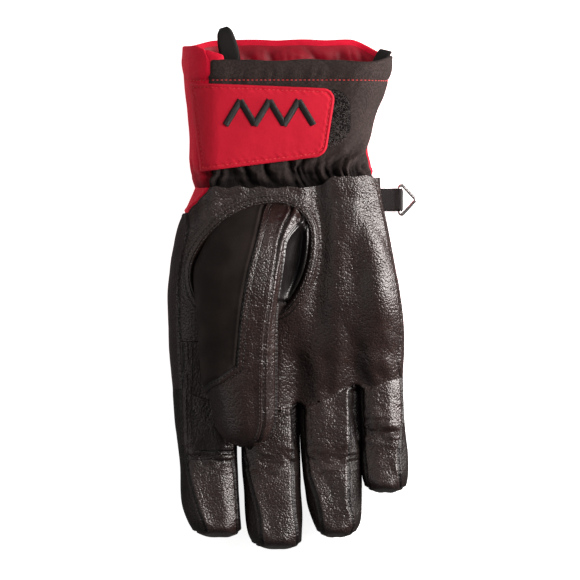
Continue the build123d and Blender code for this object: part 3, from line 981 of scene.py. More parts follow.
def inside_polygon(xy, polygon):
    """Which points are inside a closed planar line."""
    inside = np.zeros(len(xy), bool)
    x, y = xy[:, 0], xy[:, 1]
    for (x0, y0), (x1, y1) in zip(polygon, np.roll(polygon, -1, axis=0)):
        crosses = (y0 > y) != (y1 > y)
        at = (x1 - x0) * (y - y0) / (y1 - y0 if y1 != y0 else 1e-9) + x0
        inside ^= crosses & (x < at)
    return inside


def signed_distance(xy, polygon):
    """Distance from a closed planar line, negative inside it."""
    far, _ = distance_to(on_plane(xy), [(x, y, 0.0) for x, y in polygon])
    return np.where(inside_polygon(xy, polygon), -far, far)


def hand_relief(v, n):
    """How far each point of the hand moves along its normal."""
    x, y, z = v.T
    palm = smooth(0.05, 0.6, n[:, 2])
    back = smooth(0.05, 0.6, -n[:, 2])
    move = uneven(v, HAND_WAVES)
    move += palm * 1.5 * bump(x, 26, 10) * smooth(0, 30, y)
    for height, x_at, x_width, y_at, y_width in PALM_SWELLS:
        move += palm * height * bump(x, x_at, x_width) * bump(y, y_at, y_width)
    move -= palm * 2.2 * smooth(14, 48, x) * bump(y, -41, 13)
    # folds that the bent fingers leave across each root and middle joint
    for name in FINGER_NAMES:
        x0, x1 = FINGER_OUTLINE[name][2][1:3]
        here = smooth(x0 - 3, x0 + 3, x) * (1 - smooth(x1 - 3, x1 + 3, x))
        stretched = np.column_stack([x * 0.34, y + 0.16 * np.sin(x / 3.0), z * 0.3])
        crease = ridged(stretched, 3.4, 5.3 + x0) - 0.25
        joint = HINGE[name][1]
        move += palm * here * 2.4 * crease * bump(y, joint + 1, 7.5)
        move -= palm * here * 0.9 * bump(y, joint, 4.0)
        move += palm * here * 0.9 * crease * bump(y, -70, 10)
        move += back * here * 1.1 * crease * bump(y, joint, 9)
        pad = (joint - 63) / 2
        move += palm * here * 0.7 * bump(y, pad - 4, 9)
    # long soft folds that run down the palm from the wrist
    drawn = np.column_stack([x, y * 0.28, z * 0.5])
    move += palm * 1.6 * (ridged(drawn, 10.0, 2.2) - 0.25) * smooth(10, 52, y)
    slanted = np.column_stack([x + 0.55 * y, (y - 0.55 * x) * 0.32, z])
    move += palm * 1.7 * (ridged(slanted, 17.0, 6.6) - 0.25) * smooth(-5, 12, x)
    return move


def hand_shell():
    """The hand's finished surface: points, normals, quads, tags and seam fields."""
    v, f, tags = hand_cage().subdivided(LEVELS)
    n = vertex_normals(v, f)
    x, y = v[:, 0], v[:, 1]
    edge = signed_distance(v[:, :2], oval_line())
    upper = smooth(0.0, 0.4, n[:, 2])
    move = hand_relief(v, n)
    calm = 1 - 0.75 * upper * bump(edge, 2.5, 7.0)
    move = move * calm
    valley = bump(x, VALLEY_X + 1.2 * np.sin(y / 21.0), 4.6 + 0.03 * (57 - y)) * smooth(-42, -8, y)
    move -= upper * VALLEY_DEPTH * valley * smooth(2.5, 6.5, edge)
    move += upper * WELT_RISE * smooth(-0.2, 0.9, edge) * (1 - smooth(4.4, 8.8, edge))
    move -= upper * WELT_EDGE_DIP * bump(edge, 4.9, 0.9)
    move -= upper * OVAL_DROP * smooth(0.3, -3.0, edge)

    def sewn(a, b):
        pair = {a, b}
        fronts = pair <= {"palm", "index_front", "middle_front", "ring_front", "little_front"}
        backs = "back" in pair and any(t.endswith("_back") for t in pair)
        sides = pair in ({"index_side", "index_wall"}, {"little_side", "little_wall"})
        return not (fronts or backs or sides)

    far, at = nearest_seam(v, f, tags, sewn)
    along = at[:, 1] + at[:, 2] * 0.7 + at[:, 0] * 0.3
    move += seam_relief(far, at, along, HAND_SEAM)
    # the walls drop steeply from their seams at the roots of the fingers
    wall_faces = np.array([t.endswith("_wall") for t in tags])
    wall = np.isin(np.arange(len(v)), np.unique(f[wall_faces]))
    inner = (x > -60) & (x < 58)
    deep = smooth(0.12, 0.45, n[:, 2]) * smooth(0.4, 2.2, far) * smooth(-98, -82, y)
    move -= ROOT_SINK * wall * inner * deep
    v = v + n * move[:, None]
    v[:, 2] = np.maximum(v[:, 2], 0.05)
    hem = smooth(50, 57, y) * upper
    v[:, 1] += 1.3 * hem * wander(np.column_stack([x, x * 0, x * 0]), 6.0, 1.9)
    v[:, 2] += 0.9 * hem
    n = vertex_normals(v, f)
    row = np.where(n[:, 2] > -0.5, edge, NOT_NEAR)
    return v, n, f, np.array(tags), {"seam": far, "along": along, "row": row}


def add_field(obj, name, values):
    attribute = obj.data.attributes.new(name, "FLOAT", "POINT")
    attribute.data.foreach_set("value", np.asarray(values, np.float32))


def cut_panel(name, shell, wanted, material, thickness=LEATHER_THICK):
    """One panel of a shell: the faces with the wanted tags."""
    v, n, f, tags, fields = shell
    faces = f[np.isin(tags, wanted)]
    obj = panel(name, v, n, faces, thickness, MATERIALS[material])
    used = np.unique(faces)
    for key, values in fields.items():
        add_field(obj, key, np.tile(values[used], 2))
    return obj


INNER_NODES = ("hand_insulation", "hand_membrane", "finger_root_insulation", "finger_root_lining")
ROOT_NODES = tuple(name + "_root" for name in FINGER_NAMES)
# each kind of stitch: pitch, length, thread radius, and how far it sinks where that differs
WELT_STITCH = (2.3, 1.6, 0.23)
PATCH_STITCH = (2.5, 1.8, 0.2)
THUMB_STITCH = (2.3, 1.5, 0.20)
HEM_STITCH = (2.5, 1.75, 0.26, -0.05)
TAB_STITCH = (2.5, 1.8, 0.21, 0.02)


def make_hand():
    """Leather and cloth panels of the hand and fingers, with the stitching on them."""
    shell = hand_shell()
    palm = cut_panel("palm_leather", shell, ["palm"], "leather")
    settle(palm, "black_leather", "palm_panel", "thumb_welt", *ROOT_NODES, *INNER_NODES)
    settle(cut_panel("back_cloth", shell, ["back"], "red"), "red_cloth", "back_panel")
    for side in ("index", "little"):
        strip = cut_panel(side + "_side_leather", shell, [side + "_side"], "leather")
        settle(strip, "black_leather", side + "_side_panel")
    for name in FINGER_NAMES:
        parts = (
            ("_front", "leather", ("_tip_palm_side", "_tip_insulation", "_tip_lining")),
            ("_wall", "wall", ("_tip_fourchettes",)),
            ("_back", "leather", ("_tip_back",)),
        )
        for tag, material, nodes in parts:
            piece = cut_panel(name + tag + "_leather", shell, [name + tag], material)
            settle(piece, "black_leather", *[name + node for node in nodes], bends=name)
    make_fleece(shell)
    surface = surface_of(shell[0], shell[2])
    make_index_patch(shell)
    oval = oval_line(300)
    for row, distance in enumerate(STITCH_ROWS):
        line = offset_line(oval, distance)
        line = np.array([p for p in line if p[1] > (2.0 if p[0] < -30 else -9.0)])
        gap = np.linalg.norm(np.diff(line, axis=0), axis=1)
        cut = int(np.argmax(gap)) + 1 if gap.max() > 8 else 0
        points, normals = dropped(surface, np.roll(line, -cut, axis=0))
        made = stitches(f"thumb_welt_stitches_{row + 1}", points, normals, "brown_thread", *WELT_STITCH)
        settle(made, "black_leather")


FLEECE_TOP, FLEECE_DEPTH, FLEECE_THICK = 55.0, 3.2, 1.5


def make_fleece(shell):
    """The fleece that lines the hand, seen through the cuff's mouth."""
    v, n, f, tags, _ = shell
    lined = np.isin(tags, ["palm", "back", "index_side", "little_side"])
    trunk = lined & (v[f].mean(axis=1)[:, 1] < FLEECE_TOP)
    layer = (v - n * FLEECE_DEPTH, n, f, np.where(trunk, "fleece", ""), {})
    fleece = cut_panel("hand_fleece_lining", layer, ["fleece"], "fleece", FLEECE_THICK)
    settle(fleece, "fleece_lining", "hand_lining")


PATCH_START_Y, PATCH_END_Y, PATCH_INNER_X, PATCH_RISE, PATCH_STITCH_X = -30.5, -98.0, -36.0, 0.9, -61.4


def make_index_patch(shell):
    """A second layer of leather over the root of the index finger, stitched down."""
    v, n, f, tags, fields = shell
    middles = v[f].mean(axis=1)
    on_finger = (tags == "index_front") & (middles[:, 1] > PATCH_END_Y)
    on_palm = (tags == "palm") & (middles[:, 1] < PATCH_START_Y) & (middles[:, 0] < PATCH_INNER_X)
    chosen = np.where(on_finger | on_palm, "patch", "")
    raised = v + n * PATCH_RISE
    sides = np.abs(v[:, 0] - PATCH_STITCH_X - 0.6 * np.sin(v[:, 1] / 9))
    row_field = np.minimum(sides, np.abs(v[:, 1] - PATCH_END_Y - 2.0)) + STITCH_ROWS[0]
    layer = (raised, n, f, chosen, {**fields, "row": row_field})
    patch = cut_panel("index_patch_leather", layer, ["patch"], "leather", PATCH_RISE)
    settle(patch, "black_leather", "index_patch", bends="index")
    surface = surface_of(raised, f[chosen == "patch"])
    rows = [[(x, PATCH_END_Y + 2.0) for x in np.linspace(-63, -34, 60)]]
    for shift in (0.0, STITCH_ROWS[1] - STITCH_ROWS[0]):
        ys = np.linspace(PATCH_START_Y - 2, PATCH_END_Y + 3, 90)
        rows.append([(PATCH_STITCH_X + shift + 0.6 * math.sin(y / 9), y) for y in ys])
    for k, line in enumerate(rows):
        points, normals = dropped(surface, line)
        made = stitches(f"index_patch_stitches_{k + 1}", points, normals, "brown_thread", *PATCH_STITCH)
        settle(made, "black_leather", bends="index")


THUMB_WAVES = ((0.5, 22.0, 7.7), (0.16, 8.0, 1.3))
THUMB_SEAM = (1.2, 0.45, 1.6, 0.2, 5.6, (2.0, 6.0))
PIPING_RISE, PIPING_GROOVE = 0.45, 0.9


def thumb_shell():
    """The thumb's finished surface."""
    v, f, tags = thumb_cage().subdivided(LEVELS)
    n = vertex_normals(v, f)
    x, y, z = v.T
    free = smooth(20, -10, y)
    move = uneven(v, THUMB_WAVES)
    drawn = np.column_stack([x, y * 0.22, z])
    top = smooth(0.1, 0.7, n[:, 2])
    strip = np.isin(np.arange(len(v)), np.unique(f[np.array(tags) == "thumb_strip"]))
    pleats = smooth(20, 38, y) * (1 - smooth(44, 48, y)) * strip
    move += 0.5 * pleats * (ridged(drawn, 3.6, 4.4) - 0.3)
    crease = ridged(np.column_stack([x * 0.3, y, z * 0.3]), 3.6, 9.1) - 0.25
    move += 0.8 * crease * bump(y, -36, 9) * free * top
    far, at = nearest_seam(v, f, tags, lambda a, b: True)
    suede_far, _ = nearest_seam(v, f, tags, between("thumb_suede", "thumb_strip"))
    piped_far, _ = nearest_seam(v, f, tags, between("thumb_side", "thumb_strip"))
    along = at[:, 1] * 1.1 + at[:, 0] * 0.4
    move += seam_relief(far, at, along, THUMB_SEAM)
    move += PIPING_RISE * bump(piped_far, 2.0, 1.1) - PIPING_GROOVE * bump(piped_far, 0.0, 0.8)
    v = v + n * move[:, None]
    # the gusset rolls over just inside the palm's edge
    edge = signed_distance(v[:, :2], oval_line())
    gusset = (v[:, 0] > -8) & (n[:, 2] > -0.2)
    v[:, 2] += gusset * GUSSET_ROLL * bump(edge, -2.4, 1.7) * smooth(-12, -2, y) * (1 - smooth(36, 44, y))
    row = np.where(strip, suede_far, NOT_NEAR)
    return v, vertex_normals(v, f), f, np.array(tags), {"seam": far, "along": along, "row": row}


def make_thumb():
    """Suede, leather strip with its cap, side strip, smooth gusset and underside."""
    shell = thumb_shell()
    v, _, f, tags = shell[:4]
    looks = (
        ("thumb_suede", "_face", "suede", "black_suede", ["thumb_suede_panel"]),
        ("thumb_strip", "_and_cap", "strip", "black_leather",
         ["thumb_leather", "thumb_insulation", "thumb_lining"]),
        ("thumb_side", "_panel", "strip", "black_leather", ["thumb_leather"]),
        ("thumb_gusset", "_panel", "gusset", "black_leather", ["thumb_leather"]),
        ("thumb_under", "_panel", "wall", "black_leather", ["thumb_leather"]),
    )
    for tag, ending, material, slot, nodes in looks:
        piece = cut_panel(tag + ending, shell, [tag], material)
        settle(piece, slot, *nodes, bends="thumb")
    surface = surface_of(v, f)
    # the strip's two stitched seams, and the rows' distances from each: more than 0 is onto the strip
    for label, distances in (("suede", STITCH_ROWS), ("side", (-1.0,))):
        line = v[chain(seam_edges(f, tags, between("thumb_" + label, "thumb_strip")))]
        if line[0][1] < line[-1][1]:
            line = line[::-1]
        line = resample(line[:, :2], 160)
        line = line[line[:, 1] > THUMB_END + 4]
        for row, distance in enumerate(distances):
            points, normals = dropped(surface, offset_line(line, distance))
            name = f"thumb_{label}_stitches_{row + 1}"
            made = stitches(name, points, normals, "brown_thread", *THUMB_STITCH)
            settle(made, "black_leather", bends="thumb")


# ---------------------------------------------------------------- the cuff

# up the cuff: y, left, right, back z, palm z, corner
CUFF_OUTLINE = [
    (50.0, -57.5, 47.0, 3.0, 42.5, 15.0),
    (58.0, -58.0, 46.5, 2.6, 43.0, 16.0),
    (66.0, -59.0, 44.0, 2.0, 43.5, 17.0),
    (72.0, -60.2, 43.2, 1.8, 43.8, 17.0),
    (80.0, -60.6, 42.4, 1.5, 44.6, 18.0),
    (91.0, -61.0, 44.2, 1.1, 46.2, 18.5),
    (102.0, -62.0, 47.8, 0.8, 48.0, 19.5),
    (111.0, -62.9, 51.6, 0.6, 49.5, 20.5),
    (121.0, -64.0, 54.6, 0.4, 51.0, 21.5),
    (133.0, -64.6, 56.2, 0.3, 52.5, 22.0),
    (146.0, -64.6, 57.0, 0.3, 53.5, 23.0),
]
CUFF_CROWN = 1.6
CUFF_START, CUFF_END = 51.0, 146.0
RIM_PALM_Y, RIM_BACK_Y, RIM_LOOP_Y = 129.6, 143.7, 125.0
HEM_STITCH_Y, HEM_DEPTH = 118.4, 13.0
LINING_TOP = 3.4
GREY_LEFT_X, GREY_RIGHT_Z = -49.0, 24.0
GREY_COLUMNS, RED_COLUMNS = 170, 190
CUFF_ROWS = 96
HEM_TURN = 4.5
HEM_THICK, SHELL_THICK, LINING_THICK = 2.0, 0.8, 0.4
CUFF_WAVES = ((0.7, 30.0, 2.0), (0.3, 12.0, 9.0))
HEM_END_CORNERS = [(-53.0, 136.6), (-40.5, 132.6), (-40.5, 121.0), (-53.0, 121.0)]
HEM_END_RADII = [2.5, 2.5, 1, 1]
GATHER_Y, GATHER_DEPTH, GATHER_PITCH, FOLD_DEPTH = 64.0, 4.8, 6.0, 4.8


def cuff_loop(y):
    """The cuff's outline at y, starting at the grey panel's left edge, and the way out at each point."""
    x0, x1, z0, z1, corner = track(CUFF_OUTLINE, y)
    z_mid = (z0 + z1) / 2
    palm = outline_half(x0, x1, z_mid, z1, corner, CUFF_CROWN)
    back = outline_half(x0, x1, z_mid, z0, corner, 0.0)[::-1]
    path = np.vstack([palm, back[1:-1]])
    start = int(np.argmin(np.abs(palm[:, 0] - GREY_LEFT_X)))
    right = len(palm) - 1
    lowest = GREY_RIGHT_Z + 8 * bump(y, 66, 9)
    stop = next(i for i in range(right - 30, len(path)) if path[i, 0] > 0 and path[i, 1] < lowest)
    grey = resample(path[start: stop + 1], GREY_COLUMNS + 1)[:-1]
    red = resample(np.vstack([path[stop:], path[: start + 1]]), RED_COLUMNS + 1)[:-1]
    loop = np.vstack([grey, red])
    t = np.roll(loop, -1, axis=0) - np.roll(loop, 1, axis=0)
    t /= np.maximum(np.linalg.norm(t, axis=1, keepdims=True), 1e-9)
    return loop, np.column_stack([-t[:, 1], t[:, 0]])


def rim_height(loop):
    """The rim's y at each point round the cuff: low at the palm, high at the back."""
    x, z = loop.T
    share = smooth(6, 46, z)
    dent = 0.5 * np.sin(x / 8.0) * share + 0.25 * np.sin(x / 4.3 + 1)
    red_end = 6.6 * smooth(GREY_LEFT_X + 0.3, GREY_LEFT_X - 3.5, x) + 2.6 * smooth(-52, -58, x)
    front = RIM_PALM_Y + 2.4 * bump(x, 57, 9) + red_end
    rear = RIM_BACK_Y - 4.0 * bump(x, -64, 12) - 9.5 * smooth(30, 57, x)
    return front * share + rear * (1 - share) + dent


def cuff_grid(depth_rows):
    """Rows of points round the cuff. Each row is (share of the way up, inset)."""
    rims = rim_height(cuff_loop(RIM_LOOP_Y)[0])
    rows = []
    levels = np.linspace(CUFF_START, CUFF_END, 60)
    stack = [cuff_loop(y) for y in levels]
    loops = np.array([s[0] for s in stack])
    outs = np.array([s[1] for s in stack])
    for share, inset in depth_rows:
        ys = CUFF_START + (rims - CUFF_START) * share
        at = (ys - levels[0]) / (levels[-1] - levels[0]) * (len(levels) - 1)
        at = np.clip(at, 0, len(levels) - 1.001)
        i = at.astype(int)
        w = (at - i)[:, None]
        columns = np.arange(len(ys))
        xz = loops[i, columns] * (1 - w) + loops[i + 1, columns] * w
        out = outs[i, columns] * (1 - w) + outs[i + 1, columns] * w
        xz = xz - out * inset
        rows.append(np.column_stack([xz[:, 0], ys, xz[:, 1]]))
    return np.array(rows)


def gathers(points, around, seed=0.0):
    """How far the shirred cloth stands out: sharp ruffles at the elastic, long folds above it."""
    x, y, z = points.T
    flat = np.zeros(len(x))
    # small pleats where the elastic holds the cloth
    drift = 5.0 * wander(np.column_stack([around * 0.4, y * 0.25, flat + seed]), 8.0, seed)
    lean = 0.35 * (y - GATHER_Y) * smooth(0, 40, x) - 0.2 * (y - GATHER_Y) * smooth(0, -40, x)
    pleat_place = np.column_stack([around + drift + lean, y * 0.10, flat])
    pleat = ridged(pleat_place, GATHER_PITCH, 3.0 + seed) * 2.0
    held = smooth(CUFF_START + 3, GATHER_Y - 2, y) * np.exp(-((np.clip(y - GATHER_Y, 0, 99) / 8.0) ** 2))
    varied = 0.7 + 0.6 * wander(np.column_stack([around, y * 0.1, flat]), 13.0, 5.0 + seed)
    # longer folds that run up from them
    slope = np.where(x > 0, 0.75, -0.25) * (y - GATHER_Y)
    fold = ridged(np.column_stack([around - slope + 0.7 * drift, y * 0.16, flat]), 11.0, 1.3 + seed) * 2.0
    reach = 84 + 12 * smooth(-10, 30, x)
    above = smooth(GATHER_Y - 8, GATHER_Y + 3, y) * (1 - smooth(GATHER_Y + 6, reach, y))
    pinch = -2.6 * (1 - smooth(GATHER_Y - 7, GATHER_Y - 1, y)) - 0.8 * bump(y, GATHER_Y + 1, 1.4)
    edge = 1 - 0.75 * bump(x, -61, 9)
    pleats = GATHER_DEPTH * (pleat - 0.45) * varied * held
    total = edge * (pleats + FOLD_DEPTH * (fold - 0.45) * above + pinch)
    under_tab = (z > 30) & (y > 66) & (x < 20)
    return np.where(under_tab, np.minimum(total, 1.0), total)


def grid_faces(rows, columns, closed=True):
    """Quads of a grid, facing outwards where columns run clockwise as seen from the cuff's mouth."""
    faces = []
    last = columns if closed else columns - 1
    for r in range(rows - 1):
        for c in range(last):
            d = (c + 1) % columns
            faces.append((r * columns + c, r * columns + d, (r + 1) * columns + d, (r + 1) * columns + c))
    return np.array(faces)


# the hem's groove and swell: height, place above the stitches and width
HEM_GROOVE, HEM_SWELL = (0.8, 0.0, 0.9), (0.6, 5.5, 4.0)
CRIMP_HEIGHT, RUMPLE_HEIGHT, CUFF_SEAM_DEPTH, CUFF_SEAM_WIDTH = 0.9, 2.6, 0.6, 1.2


def cuff_relief(points, around, inside, up, depth_in, edge):
    """How far the cuff moves along its normals: folds, hem and the seams from grey to red."""
    x, y, z = points.T
    move = gathers(points, around) * ~inside
    rumple = ridged(np.column_stack([x * 0.9 + 0.6 * y, (y - 0.5 * x) * 0.4, z]), 8.5, 4.2) - 0.12
    crumpled = RUMPLE_HEIGHT * rumple * smooth(0.5, 8, depth_in) * smooth(30, 12, z)
    move = move + np.where(inside, crumpled, uneven(points, CUFF_WAVES))
    move -= HEM_GROOVE[0] * bump(up, *HEM_GROOVE[1:]) * ~inside
    move += HEM_SWELL[0] * bump(up, *HEM_SWELL[1:]) * ~inside
    crimp = ridged(np.column_stack([around, y * 0.25, np.zeros(len(y))]), 5.5, 2.0) - 0.25
    move += CRIMP_HEIGHT * crimp * (bump(up, 3.0, 5.0) + 0.5 * bump(up, -4.0, 4.0)) * ~inside
    return move - CUFF_SEAM_DEPTH * np.exp(-((edge / CUFF_SEAM_WIDTH) ** 2)) * ~inside


def make_cuff():
    """The cuff's grey palm side and red back, with the gathers at the wrist, and the hem's stitching."""
    count = GREY_COLUMNS + RED_COLUMNS
    rise = np.linspace(0, 1, CUFF_ROWS)
    thick = HEM_THICK
    rows = [(s, 0.0) for s in rise[:-1]]
    turn = np.linspace(0, np.pi, 7)
    length = RIM_BACK_Y - CUFF_START
    half = thick / 2
    rows += [(1 - half * (1 - math.sin(a)) / length, half * (1 - math.cos(a))) for a in turn]
    rows += [(1 - s / length, thick) for s in np.linspace(2.0, HEM_TURN, 5)]
    grid = cuff_grid(rows)
    outer = grid.reshape(-1, 3)
    total = len(rows)
    f = grid_faces(total, count)
    n = vertex_normals(outer, f)
    reference = grid[40]
    step = np.linalg.norm(np.diff(np.vstack([reference, reference[:1]]), axis=0), axis=1)
    around = np.tile(np.concatenate([[0], np.cumsum(step)[:-1]]), total)
    y = outer[:, 1]
    inside = np.repeat(np.array([r[1] for r in rows]) > thick * 0.5, count)
    depth_in = np.repeat(np.array([(1 - r[0]) * length * (r[1] > thick * 0.5) for r in rows]), count)
    loop = cuff_loop(RIM_LOOP_Y)[0]
    share = smooth(6, 46, loop[:, 1])
    hem_y = HEM_STITCH_Y * share + (rim_height(loop) - HEM_DEPTH) * (1 - share)
    column = np.tile(np.arange(count), total)
    edge = np.minimum(np.minimum(column, np.abs(column - GREY_COLUMNS)), count - column)
    move = cuff_relief(outer, around, inside, y - np.tile(hem_y, total), depth_in, edge)
    v = outer + n * move[:, None]
    v[:, 2] = np.maximum(v[:, 2], 0.05)
    n = vertex_normals(v, f)
    tags = np.where(np.arange(len(f)) % count < GREY_COLUMNS, "grey", "red")
    folded = smooth(0.6, -3.4, move) * smooth(92, 78, y)
    shade = np.clip(0.8 * folded + 0.45 * smooth(74, 62, y), 0, 1) * ~inside
    shell = (v, n, f, tags, {"shade": shade})
    grey = cut_panel("cuff_grey_softshell", shell, ["grey"], "grey", SHELL_THICK)
    red = cut_panel("cuff_red_back", shell, ["red"], "red", SHELL_THICK)
    settle(grey, "grey_softshell", "cuff_palm_panel", "cuff_hem")
    settle(red, "red_cloth", "cuff_back_panel")
    make_hem_stitches(v, n, hem_y)
    make_hem_end()
    make_lining()


def make_hem_stitches(v, n, hem_y):
    """The hem's stitching in red thread, one row on the grey and one on the red."""
    count = GREY_COLUMNS + RED_COLUMNS
    spans = (("hem_stitches", 1, GREY_COLUMNS), ("hem_back_stitches", GREY_COLUMNS + 1, count))
    for name, first, last in spans:
        points, normals = [], []
        for c in range(first, last):
            up_v, up_n = (array[c: CUFF_ROWS * count: count] for array in (v, n))
            points.append([np.interp(hem_y[c], up_v[:, 1], up_v[:, k]) for k in range(3)])
            normals.append([np.interp(hem_y[c], up_v[:, 1], up_n[:, k]) for k in range(3)])
        made = stitches(name, np.array(points), np.array(normals), "red_thread", *HEM_STITCH)
        settle(made, "red_cloth")


def hem_end_relief(xy, edge):
    return 0.5 * ridged(on_plane(xy), 4.0, 1.0) + 0.6 * smooth(0, 3, edge)


def make_hem_end():
    """The red hem's end, tucked behind the grey."""
    tongue = laid_sheet("cuff_red_hem_end", HEM_END_CORNERS, HEM_END_RADII, 34, 40, -0.9, 1.6, "red",
                        hem_end_relief)[0]
    settle(tongue, "red_cloth")


def make_lining():
    """A sleeve of satin with soft folds, inside the cuff."""
    count = GREY_COLUMNS + RED_COLUMNS
    length = RIM_BACK_Y - CUFF_START
    steps = np.linspace(LINING_TOP, 92.0, 76)
    depth = [(1 - s / length, 2.9 + 5.4 * float(smooth(34, 60, s))) for s in steps]
    lining = cuff_grid(depth)
    flat = lining.reshape(-1, 3)
    lf = grid_faces(len(depth), count)
    ln = vertex_normals(flat, lf)
    x, y, z = flat.T
    folds = ridged(np.column_stack([x * 0.9 + 0.55 * y, (y - 0.5 * x) * 0.35, z]), 11.0, 4.2)
    small = ridged(np.column_stack([x + 0.2 * y, y * 0.3, z]), 5.0, 7.7)
    deep = smooth(0, 6, np.repeat(steps - LINING_TOP, count))
    inward = (4.2 * np.clip(folds - 0.08, 0, 1) + 1.0 * small) * deep
    flat = flat + ln * inward[:, None]
    ln = vertex_normals(flat, lf)
    obj = panel("cuff_satin_lining", flat, ln, lf, LINING_THICK, MATERIALS["lining"])
    add_field(obj, "shade", np.tile(0.55 * smooth(1.1, 0.1, inward) * deep, 2))
    settle(obj, "red_lining", "cuff_lining", "wrist_elastic")


# ---------------------------------------------------------------- tab, patches and emblem

TAB_CORNERS = [(-60.6, 116.8), (23.4, 113.4), (17.5, 75.2), (-54.3, 66.3)]
TAB_RADII = [1.0, 6.5, 8.0, 1.2]
TAB_THICK = 1.4
TAB_LIFT = 3.0
TAB_COLUMNS, TAB_ROWS = 110, 66
TAB_WAVES = ((0.55, 24.0, 5.0), (0.2, 9.0, 3.0))
TAB_STITCH_IN = 2.1
HOOK_CORNERS = [(-14, 110), (12, 109), (9, 84), (-14, 84)]
HOOK_RADII, HOOK_THICK, HOOK_GAP = [2, 2, 2, 2], 0.5, 0.15
EMBLEM_START, EMBLEM_PITCH, EMBLEM_HEIGHT, EMBLEM_STROKE, EMBLEM_PEAKS = (-39.5, 93.0), 16.6, 13.6, 3.9, 3
EMBLEM_SPACING, EMBLEM_THREAD, EMBLEM_RISE = 0.42, 0.27, 0.75
PATCH_CORNERS = [(-18.0, 113.5), (32.0, 113.0), (31.6, 79.5), (-18.0, 79.5)]
PATCH_RADII = [2.0, 11.0, 13.0, 2.0]
PATCH_LIFT, PATCH_THICK = 1.0, 0.9
PILE_LOOPS, PILE_BOX, PILE_SIZES, PILE_FIBRE = 1500, (8, 33, 79, 114), (0.35, 0.75), 0.10


def rounded_sides(corners, radii, count):
    """A rounded four-cornered outline as four sides, each from mid-corner to mid-corner."""
    corners = [np.array(c, float) for c in corners]
    arcs = []
    for i in range(4):
        before, at, after = corners[i - 1], corners[i], corners[(i + 1) % 4]
        a = (before - at) / np.linalg.norm(before - at)
        b = (after - at) / np.linalg.norm(after - at)
        half = math.acos(float(np.clip(a @ b, -1, 1))) / 2
        back = radii[i] / math.tan(half)
        centre = at + (a + b) / np.linalg.norm(a + b) * radii[i] / math.sin(half)
        start, end = at + a * back - centre, at + b * back - centre
        angle = math.atan2(start[0] * end[1] - start[1] * end[0], float(start @ end))
        turns = [k * angle / 16 for k in range(17)]
        arc = [centre + np.array([start[0] * math.cos(t) - start[1] * math.sin(t),
                                  start[0] * math.sin(t) + start[1] * math.cos(t)]) for t in turns]
        arcs.append(np.array(arc))
    sides = []
    for i in range(4):
        path = np.vstack([arcs[i][8:], arcs[(i + 1) % 4][:9]])
        sides.append(resample(path, count[i % 2]))
    return sides


def filled_outline(corners, radii, columns, rows):
    """A grid that fills a rounded four-cornered outline. The first side runs along the columns."""
    top, right, bottom, left = rounded_sides(corners, radii, (columns, rows))
    bottom, left = bottom[::-1], left[::-1]
    u = np.linspace(0, 1, columns)[None, :, None]
    w = np.linspace(0, 1, rows)[:, None, None]
    across = top[None] * (1 - w) + bottom[None] * w
    down = left[:, None] * (1 - u) + right[:, None] * u
    corner = (top[0] * (1 - u) + top[-1] * u) * (1 - w) + (bottom[0] * (1 - u) + bottom[-1] * u) * w
    outline = np.vstack([top, right[1:], bottom[::-1][1:], left[::-1][1:-1]])
    return (across + down - corner).reshape(-1, 2), outline


def cuff_base_height(xy):
    """The cuff's smooth palm-side height under each point."""
    out = []
    for x, y in xy:
        x0, x1, z0, z1, corner = track(CUFF_OUTLINE, y)
        path = outline_half(x0, x1, (z0 + z1) / 2, z1, corner, CUFF_CROWN)
        out.append(np.interp(x, path[:, 0] + 1e-9 * np.arange(len(path)), path[:, 1]))
    return np.array(out)


def laid_sheet(name, corners, radii, columns, rows, lift, thick, material, relief, edge_round=0.7):
    """A thin sewn sheet that follows the cuff's palm side. relief(xy, edge distance) shapes its top."""
    xy, outline = filled_outline(corners, radii, columns, rows)
    edge = -signed_distance(xy, resample(outline, 500, closed=True))
    base = cuff_base_height(xy)
    z = base + lift + relief(xy, edge) - edge_round * np.exp(-np.clip(edge, 0, 9) / 0.5)
    verts = np.column_stack([xy, z])
    faces = grid_faces(rows, columns, closed=False)[:, ::-1]
    normals = vertex_normals(verts, faces)
    if normals[:, 2].mean() < 0:
        faces = faces[:, ::-1]
        normals = -normals
    obj = panel(name, verts, normals, faces, thick, MATERIALS[material])
    return obj, verts, faces, outline


def tab_relief(xy, edge):
    x, y = xy.T
    hump = 0.9 * bump(x, -20, 30) * bump(y, 95, 22)
    soft = uneven(on_plane(xy), TAB_WAVES)
    seam = -0.45 * bump(edge, 2.1, 0.6) + 0.22 * bump(edge, 1.0, 0.7)
    pucker = 0.12 * np.sin((x + y) * 2 * np.pi / 5.0) * bump(edge, 3.0, 1.6)
    return hump + soft + seam + pucker


